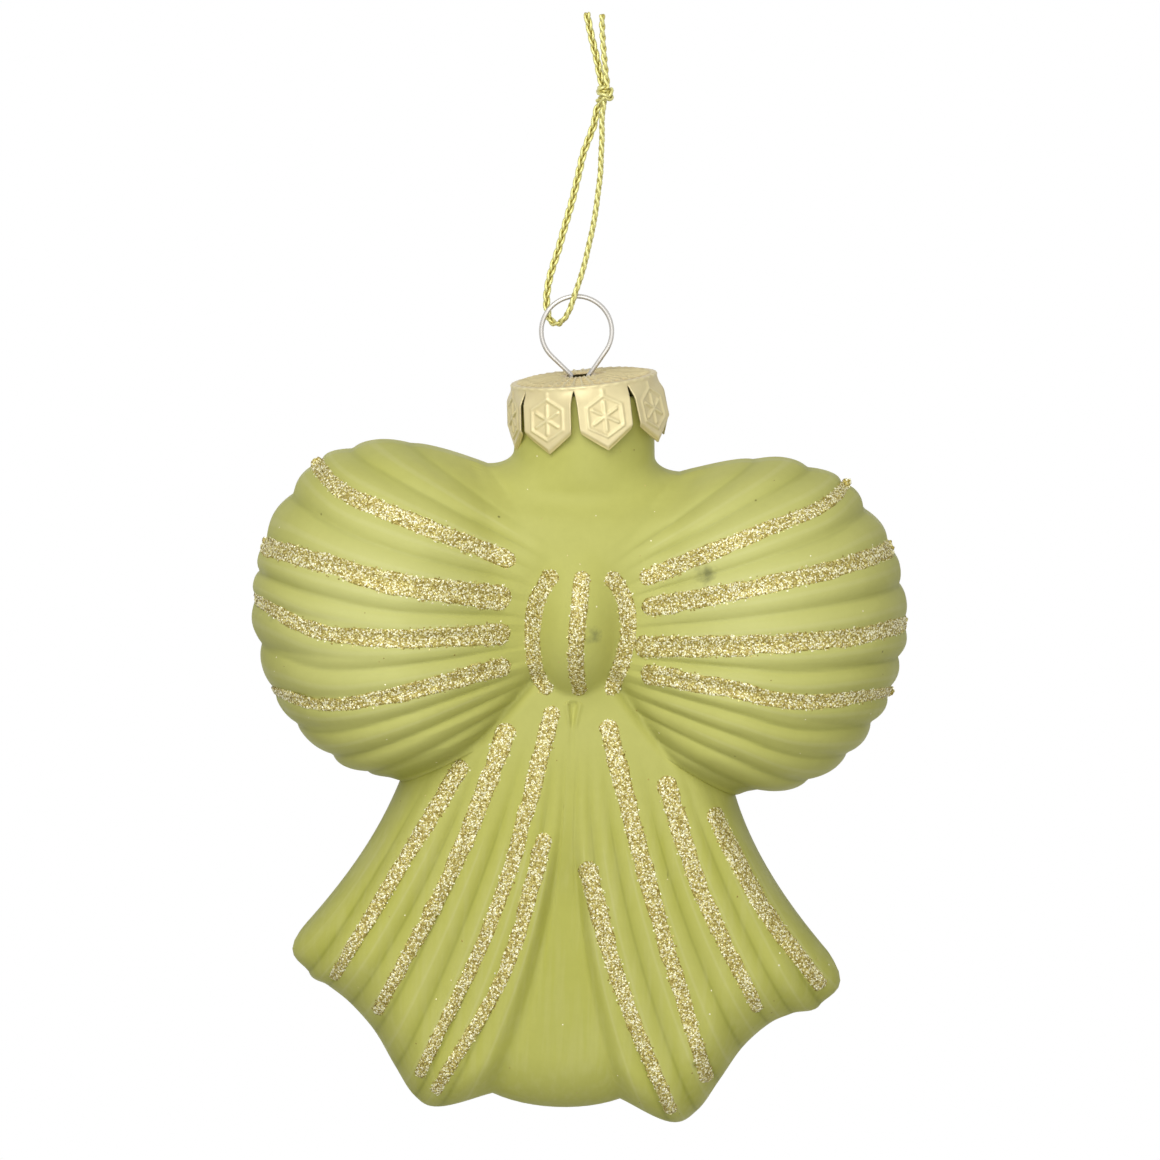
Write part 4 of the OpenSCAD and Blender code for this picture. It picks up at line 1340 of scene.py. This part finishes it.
# Stamp of a tab: a hexagon, its star, the ridge above and the bevel at the foot
TAB_COLUMNS = 44
TAB_ROWS = 52
HEX_MIDDLE = 4.15
HEX_RADIUS = 2.65
STAR_REACH = 2.15
STAR_FADE = 0.3
LINE_HALF = 0.24
RIDGE_HALF = 0.3
RIDGE_FOOT = (1.2, 1.7)
HEX_RISE = 0.75
RIDGE_RISE = 0.6
BEVEL = 0.6
BEVEL_FALL = 1.2
BEVEL_FADE = 0.8
TAB_POINT = 0.02
# How far under the band the gaps open, the stamp starts and the tabs turn flat
GAP_START = 0.4
STAMP_START = 0.3
FLAT_START = 2


def tab_stamp(across, down, edge):
    """Relief of a tab: a hexagon with a six-rayed star, a ridge above them and a bevelled foot."""
    up = HEX_MIDDLE - down
    ring = np.max([np.abs(across * math.cos(a) + up * math.sin(a)) for a in np.radians((0, 60, 120))], 0)
    hexagon = bar(ring - HEX_RADIUS * math.cos(math.pi / 6), LINE_HALF)
    star = np.zeros_like(across)
    for a in np.radians((90, 30, 150)):
        beside = across * math.sin(a) - up * math.cos(a)
        reach = np.abs(across * math.cos(a) + up * math.sin(a))
        ray = bar(beside, LINE_HALF) * (1 - ease(STAR_REACH - STAR_FADE, STAR_REACH, reach))
        star = np.maximum(star, ray)
    crest = bar(across, RIDGE_HALF) * (1 - ease(*RIDGE_FOOT, down))
    foot = -BEVEL_FALL * (1 - ease(0, BEVEL, edge)) * ease(TAB_CORNER - BEVEL_FADE, TAB_CORNER, down)
    return np.maximum.reduce([HEX_RISE * hexagon, star, RIDGE_RISE * crest]) + foot


def tab_mesh(stamp):
    """One tab under the band, pointed at its foot."""
    pitch = math.pi / TAB_COUNT
    down = np.linspace(CAP_BAND, CAP_SKIRT, TAB_ROWS)
    share = np.linspace(-1, 1, TAB_COLUMNS + 1)
    gap = lerp(*TAB_GAP, (down - CAP_BAND) / (TAB_CORNER - CAP_BAND))
    gap = gap * ease(CAP_BAND, CAP_BAND + GAP_START, down)
    half = skirt_radius(down) * pitch - np.where(down < TAB_CORNER, gap, TAB_GAP[1])
    point = np.clip((CAP_SKIRT - down) / (CAP_SKIRT - TAB_CORNER), TAB_POINT, 1)
    half = half * np.where(down > TAB_CORNER, point, 1)
    across = half[:, None] * share
    drop = np.broadcast_to(down[:, None], across.shape)
    slope = (CAP_SKIRT - TAB_CORNER) / half[np.searchsorted(down, TAB_CORNER) - 1]
    foot_edge = (CAP_SKIRT - drop - np.abs(across) * slope) / math.hypot(1, slope)
    relief = tab_stamp(across, drop, foot_edge)
    radius = skirt_radius(drop) + stamp * relief * ease(CAP_BAND, CAP_BAND + STAMP_START, drop)
    angle = across / skirt_radius(drop)
    flat = ease(CAP_BAND, CAP_BAND + FLAT_START, drop) * radius * (1 - np.cos(angle))
    points = np.stack([radius * np.sin(angle), -radius * np.cos(angle) - flat, -drop], -1).reshape(-1, 3)
    mesh = new_mesh("cap_tab", points * MM, grid_faces(TAB_ROWS, TAB_COLUMNS + 1, True))
    add_float(mesh, "raised", np.clip(relief, -1, 1).ravel())
    return mesh


# Stamp of the disc: spokes and rings
DISC_RINGS = 44
DISC_RIDGES = 40
SPOKE_HALF = 0.55
SPOKE_START = (2.6, 3.4)
RING_PITCH = 2.1
RING_HALF = 0.6
RING_RISE = 0.6
# Shares of the disc over which its relief rises from the slot and falls to the rolled edge
RELIEF_RISE = (0.02, 0.12)
HEIGHT_RISE = (0, 0.1)
HEIGHT_FALL = (0.8, 0.97)
RELIEF_MIDDLE = 0.4
DOME_START = 2
ROLL_ROWS = 5
BAND_ROWS = 7
RIB_RISE = 0.3


def disc_mesh(stamp):
    """The disc round its slot, its rolled edge and the band above the tabs."""
    columns = TAB_COUNT * TAB_COLUMNS
    angle = math.radians(TAB_TURN) - math.pi / TAB_COUNT + np.arange(columns) * math.tau / columns
    ray = np.stack([np.sin(angle), -np.cos(angle)], 1)
    reach = np.min(np.array(SLOT) / 2 / np.maximum(np.abs(ray), 1e-6), 1)
    rows, raised = [], []
    for t in np.linspace(0, 1, DISC_RINGS):
        inner = reach[:, None] * ray + (SLOT_SHIFT, 0)
        outer = (CAP_RADIUS - CAP_ROLL) * ray
        place = lerp(inner, outer, t)
        radius = np.hypot(*place.T)
        spokes = bar(np.sin(angle * DISC_RIDGES / 2), SPOKE_HALF) * ease(*SPOKE_START, radius)
        rings = bar(np.sin(radius * RING_PITCH), RING_HALF)
        relief = np.maximum(spokes, RING_RISE * rings) * ease(*RELIEF_RISE, t)
        height = 2 * stamp * (relief - RELIEF_MIDDLE) * ease(*HEIGHT_RISE, t) * (1 - ease(*HEIGHT_FALL, t))
        dome = DISC_DOME * (1 - ease(DOME_START, CAP_RADIUS - CAP_ROLL, radius))
        rows.append(np.column_stack([place, height + dome]))
        raised.append(relief)
    ribs = 0.5 + 0.5 * np.cos(angle * DISC_RIDGES)
    for t in np.linspace(0, math.pi / 2, ROLL_ROWS)[1:]:
        radius = CAP_RADIUS - CAP_ROLL * (1 - math.sin(t)) + RIB_RISE * stamp * ribs
        height = np.full(columns, -CAP_ROLL * (1 - math.cos(t)))
        rows.append(np.column_stack([radius[:, None] * ray, height]))
        raised.append(ribs)
    for down in np.linspace(CAP_ROLL, CAP_BAND, BAND_ROWS)[1:]:
        fade = 1 - ease(CAP_ROLL, CAP_BAND, down)
        radius = skirt_radius(down) + RIB_RISE * stamp * ribs * fade
        rows.append(np.column_stack([radius[:, None] * ray, np.full(columns, -down)]))
        raised.append(ribs * fade)
    mesh = new_mesh("cap_disc", np.concatenate(rows) * MM, tube_faces(len(rows), columns)[:, ::-1])
    add_float(mesh, "raised", np.concatenate(raised))
    add_float(mesh, "disc", np.arange(len(rows) * columns) < DISC_RINGS * columns)
    return mesh


class BOW_OT_make_cap(bpy.types.Operator):
    """Make the stamped crown cap with its pointed tabs"""
    bl_idname = "bow.make_cap"
    bl_label = "Crown Cap"

    def execute(self, context):
        settings = context.scene.bow_cap
        gold = stamped_gold(settings)
        tab = new_piece("cap_tab", tab_mesh(settings.stamp / MM), [gold])
        disc = new_piece("cap_disc", disc_mesh(settings.stamp / MM), [gold])
        mesh = run_tree(disc, tab_tree(), {
            "Tab": tab, "Count": TAB_COUNT, "Turn": math.radians(TAB_TURN) + math.pi / TAB_COUNT,
            "Material": gold})
        bpy.data.objects.remove(tab)
        co = np.array([v.co for v in mesh.vertices]) / MM
        angle = np.degrees(np.arctan2(co[:, 0], -co[:, 1])) - TAB_TURN
        flare = np.array(TAB_FLARES)[np.floor(angle / 360 * TAB_COUNT).astype(int) % TAB_COUNT]
        spread = 1 + flare * np.maximum(0, -co[:, 2] - CAP_BAND) / (CAP_SKIRT - CAP_BAND) / CAP_RADIUS
        co[:, :2] *= spread[:, None]
        mesh.vertices.foreach_set("co", to_cap(co).ravel())
        thin = new_piece("cap_sheet", mesh, [gold])
        sheet = thin.modifiers.new("sheet", "SOLIDIFY")
        sheet.thickness = settings.sheet
        sheet.offset = -1
        cap = new_piece("stamped_cap", evaluated_mesh(thin), [gold])
        carry(cap, "cap", "cap_gold", "crown_cap")
        return {"FINISHED"}


# Wire hanger

RING_POINTS = 72
LEG_POINTS = 19


def tangent_turn(point, side):
    """The turn of the round part where a straight leg from a point meets it."""
    away = np.subtract(point, RING_CENTRE)
    return math.atan2(away[1], away[0]) + side * math.acos(RING_RADIUS / np.hypot(*away))


class BOW_OT_make_hanger(bpy.types.Operator):
    """Bend the wire ring and its two spread legs"""
    bl_idname = "bow.make_hanger"
    bl_label = "Wire Hanger"

    def execute(self, context):
        settings = context.scene.bow_hanger
        first = tangent_turn(LEG_RIGHT[0], 1)
        last = tangent_turn(LEG_LEFT[0], -1) + math.tau
        turns = np.linspace(last, first, RING_POINTS)
        ring = np.array(RING_CENTRE) + RING_RADIUS * np.stack([np.cos(turns), np.sin(turns)], 1)
        legs = [along(leg, LEG_POINTS) for leg in (LEG_LEFT[::-1], LEG_RIGHT)]
        flat = np.concatenate([legs[0], ring, legs[1]])
        points = to_row(np.stack([flat[:, 0], np.zeros(len(flat)), flat[:, 1]], 1))
        curve = bpy.data.curves.new("wire_route", "CURVE")
        curve.dimensions = "3D"
        route = curve.splines.new("POLY")
        route.points.add(len(points) - 1)
        route.points.foreach_set("co", np.column_stack([points, np.ones(len(points))]).ravel())
        steel = drawn_steel(settings)
        mesh = run_tree(placed("wire_route", curve), wire_tree(), {
            "Radius": settings.wire / 2, "Material": steel})
        wire = new_piece("bent_wire", mesh, [steel])
        carry(wire, "hanger", "hanger_wire", "wire_hanger")
        return {"FINISHED"}


# Cord

STRANDS = 3
STRAND_SIDES = 8
STRAND_STEP = 0.1
STRAND_SHARE = 0.22
WEAVE_SHARE = 0.17
ROUTE_STEPS = 40
# The strands' ends are rounded, with a small flat left
END_ROUND = 0.3
END_FLAT = 0.02
# Height over the cord's middle, as a share of its thickness, where a strand starts to look on top and
# takes the painted light
TOP_START = 0.2
TOP_SPAN = 0.22


def cord_path():
    """Points down the middle of the cord, a strand step apart, from the left tail to the right one."""
    route = TAIL_LEFT_ROUTE[::-1] + LOOP_ROUTE + KNOT_WRAP + TAIL_RIGHT_ROUTE
    fine = along(route, ROUTE_STEPS * len(route))
    gone = lengths_along(fine)
    at = np.arange(0, gone[-1], STRAND_STEP)
    return np.stack([np.interp(at, gone, fine[:, i]) for i in range(3)], 1)


def carried_frames(path):
    """Two directions across the path at each point, turning as little as they can."""
    ahead = unit_rows(np.gradient(path, axis=0))
    across = [unit_rows(np.cross(ahead[0], (0, 1, 0)))]
    for way in ahead[1:]:
        kept = across[-1] - way * (across[-1] @ way)
        across.append(kept / np.linalg.norm(kept))
    across = np.array(across)
    return across, np.cross(ahead, across)


class BOW_OT_make_cord(bpy.types.Operator):
    """Braid the hanging cord, with its knot and its two free ends"""
    bl_idname = "bow.make_cord"
    bl_label = "Hanging Cord"

    def execute(self, context):
        settings = context.scene.bow_cord
        path = cord_path()
        across, up = carried_frames(path)
        thick, lay = settings.thickness / MM, settings.lay / MM
        gone = np.arange(len(path)) * STRAND_STEP
        ends = round_edge(np.minimum(gone, gone[-1] - gone) + END_FLAT, END_ROUND)
        sides = np.arange(STRAND_SIDES)
        u = sides * math.tau / STRAND_SIDES
        points, faces, tops = [], [], []
        for i in range(STRANDS):
            turn = math.tau * (gone / lay + i / STRANDS)
            sway = thick * (0.5 - STRAND_SHARE) * np.cos(turn)
            rise = thick * WEAVE_SHARE * np.sin(2 * turn)
            middle = path + sway[:, None] * across + rise[:, None] * up
            side, lift = carried_frames(middle)
            ring = side[:, None] * np.cos(u)[:, None] + lift[:, None] * np.sin(u)[:, None]
            tube = middle[:, None] + thick * STRAND_SHARE * ends[:, None, None] * ring
            first = sum(map(len, points))
            last = first + (len(path) - 1) * STRAND_SIDES
            faces += [*tube_faces(len(path), STRAND_SIDES, first), first + sides[::-1], last + sides]
            points.append(tube.reshape(-1, 3))
            height = np.linalg.norm(tube - path[:, None], axis=-1) / thick
            tops.append(((height - TOP_START) / TOP_SPAN).ravel())
        mesh = new_mesh("cord", to_row(np.concatenate(points)), faces)
        add_float(mesh, "top", np.concatenate(tops))
        cord = new_piece("braided_cord", mesh, [metal_yarn(settings)])
        carry(cord, "cord", "gold_cord", "cord_loop", "cord_knot", "cord_tail_left", "cord_tail_right")
        return {"FINISHED"}


# Stray flakes

class BOW_OT_strew_flakes(bpy.types.Operator):
    """Strew a few loose flakes over the front of the glass"""
    bl_idname = "bow.strew_flakes"
    bl_label = "Stray Flakes"

    def execute(self, context):
        settings = context.scene.bow_glitter
        glass = bpy.data.objects["lacquered_bow"].data.copy()
        normals = np.zeros(len(glass.vertices) * 3, np.float32)
        glass.vertices.foreach_get("normal", normals)
        inner = np.zeros(len(glass.vertices), bool)
        for face in glass.polygons:
            if face.material_index == 1:
                inner[list(face.vertices)] = True
        faces_front = ease(*STRAY_FACING, -normals.reshape(-1, 3)[:, 1])
        add_float(glass, "cover", np.where(inner, 0, faces_front))
        add_float(glass, "loose", np.ones(len(inner)))
        source = new_piece("strewn", glass, [])
        mesh = run_tree(source, flake_tree(), {
            "Density": settings.strays, "Flake": settings.flake * STRAY_SIZE, "Tilt": STRAY_TILT,
            "Seed": settings.seed, "Flake Material": bpy.data.materials["glitter_flake"]})
        carry(placed("stray_flakes", mesh), "glass", "gold_glitter")
        return {"FINISHED"}


# Stage

SENSOR = 36
# Place and width of each soft light
KEY_LIGHT = ((-0.13, -0.37, 0.19), 0.4)
FRONT_LIGHT = ((0.1, -0.6, -0.02), 0.5)
FLOOR_HALF = 6
FLOOR_GREYS = (0.66, 0.62)
SHADOW_REACH = 0.9
SHADOW_CLEAR = 0.5
WHITE = (1, 1, 1, 1)


def soft_light(name, place, size, aim, power):
    lamp = bpy.data.lights.new(name, "AREA")
    lamp.shape = "DISK"
    lamp.size = size
    lamp.energy = power
    light = placed(name, lamp)
    light.location = place
    light.rotation_euler = (aim - Vector(place)).to_track_quat("-Z", "Y").to_euler()


def seen_white(tree):
    """1 for what the camera sees straight or in a mirror, 0 for light."""
    path = node(tree, "ShaderNodeLightPath")
    either = node(tree, "ShaderNodeMath", {
        0: path.outputs["Is Camera Ray"], 1: path.outputs["Is Glossy Ray"]}, operation="MAXIMUM")
    return node(tree, "ShaderNodeMath", {
        0: either.outputs[0], 1: path.outputs["Is Transmission Ray"]}, operation="MAXIMUM").outputs[0]


def white_world(fill):
    world = bpy.data.worlds.new("studio")
    world.use_nodes = True
    tree = world.node_tree
    tree.nodes.clear()
    light = node(tree, "ShaderNodeBackground", {"Color": WHITE, "Strength": fill})
    white = node(tree, "ShaderNodeBackground", {"Color": WHITE, "Strength": 1.0})
    either = node(tree, "ShaderNodeMixShader", {
        0: seen_white(tree), 1: light.outputs[0], 2: white.outputs[0]})
    node(tree, "ShaderNodeOutputWorld", {"Surface": either.outputs[0]})
    return world


def pale_floor(height):
    """A wide pale floor that shows white and keeps the ornament's shadow."""
    corners = [(x, y, height) for x, y in ((-1, -1), (1, -1), (1, 1), (-1, 1))]
    mesh = new_mesh("floor", np.array(corners) * (FLOOR_HALF, FLOOR_HALF, 1), [(0, 1, 2, 3)])
    material, tree, shader = new_material("pale_floor", Roughness=0.9)
    coords = object_coords(tree)
    greys = [(grey, grey, grey, 1) for grey in FLOOR_GREYS]
    tree.links.new(mixed(tree, noise(tree, coords, 30, 2), *greys), shader.inputs["Base Color"])
    white = node(tree, "ShaderNodeEmission", {"Color": WHITE, "Strength": 1.0})
    clear = ranged(tree, near(tree, coords, (0, 0, height), SHADOW_REACH), 0, 1, 1, SHADOW_CLEAR)
    seen = times(tree, seen_white(tree), clear)
    either = node(tree, "ShaderNodeMixShader", {0: seen, 1: shader.outputs[0], 2: white.outputs[0]})
    tree.links.new(either.outputs[0], tree.nodes["Material Output"].inputs["Surface"])
    new_piece("floor", mesh, [material], smooth=False)


class BOW_OT_set_stage(bpy.types.Operator):
    """Set the camera, the soft studio light, the white surround and the floor"""
    bl_idname = "bow.set_stage"
    bl_label = "Stage"

    def execute(self, context):
        settings = context.scene.bow_stage
        aim = Vector(settings.aim)
        rise = math.radians(settings.elevation)
        view = Vector((0, -math.cos(rise), math.sin(rise)))
        lens = bpy.data.cameras.new("camera")
        lens.lens = settings.lens
        lens.sensor_width = SENSOR
        camera = placed("camera", lens)
        roll = Matrix.Rotation(math.radians(settings.roll), 3, "Z")
        turn = (-view).to_track_quat("-Z", "Y").to_matrix() @ roll
        camera.matrix_world = Matrix.Translation(aim + view * settings.distance) @ turn.to_4x4()
        context.scene.camera = camera
        soft_light("key", *KEY_LIGHT, aim, settings.key)
        soft_light("front", *FRONT_LIGHT, aim, settings.front)
        context.scene.world = white_world(settings.fill)
        context.scene.view_settings.view_transform = "Standard"
        pale_floor(settings.floor)
        return {"FINISHED"}


# Add-on

SETTINGS = {
    "bow_glass": BowGlassSettings, "bow_glitter": BowGlitterSettings, "bow_cap": BowCapSettings,
    "bow_hanger": BowHangerSettings, "bow_cord": BowCordSettings, "bow_stage": BowStageSettings,
}
OPERATORS = (
    BOW_OT_set_stage, BOW_OT_make_cord, BOW_OT_make_glass, BOW_OT_lay_glitter,
    BOW_OT_strew_flakes, BOW_OT_make_cap, BOW_OT_make_hanger,
)


class BOW_PT_panel(bpy.types.Panel):
    """Buttons that build the ornament, piece by piece."""
    bl_idname = "BOW_PT_panel"
    bl_label = "Glitter Bow"
    bl_space_type = "VIEW_3D"
    bl_region_type = "UI"
    bl_category = "Bow"

    def draw(self, context):
        for operator in OPERATORS:
            self.layout.operator(operator.bl_idname)


def register():
    for name, group in SETTINGS.items():
        bpy.utils.register_class(group)
        setattr(bpy.types.Scene, name, PointerProperty(type=group))
    for cls in (*OPERATORS, BOW_PT_panel):
        bpy.utils.register_class(cls)


def unregister():
    for cls in (BOW_PT_panel, *reversed(OPERATORS)):
        bpy.utils.unregister_class(cls)
    for name, group in SETTINGS.items():
        delattr(bpy.types.Scene, name)
        bpy.utils.unregister_class(group)


def plain(box):
    return [[float(v) for v in corner] for corner in box]


def main():
    register()
    bpy.ops.bow.set_stage()
    bpy.ops.bow.make_cord()
    bpy.ops.bow.make_glass()
    bpy.ops.bow.lay_glitter()
    bpy.ops.bow.strew_flakes()
    bpy.ops.bow.make_cap()
    bpy.ops.bow.make_hanger()


if __name__ == "__main__":
    main()
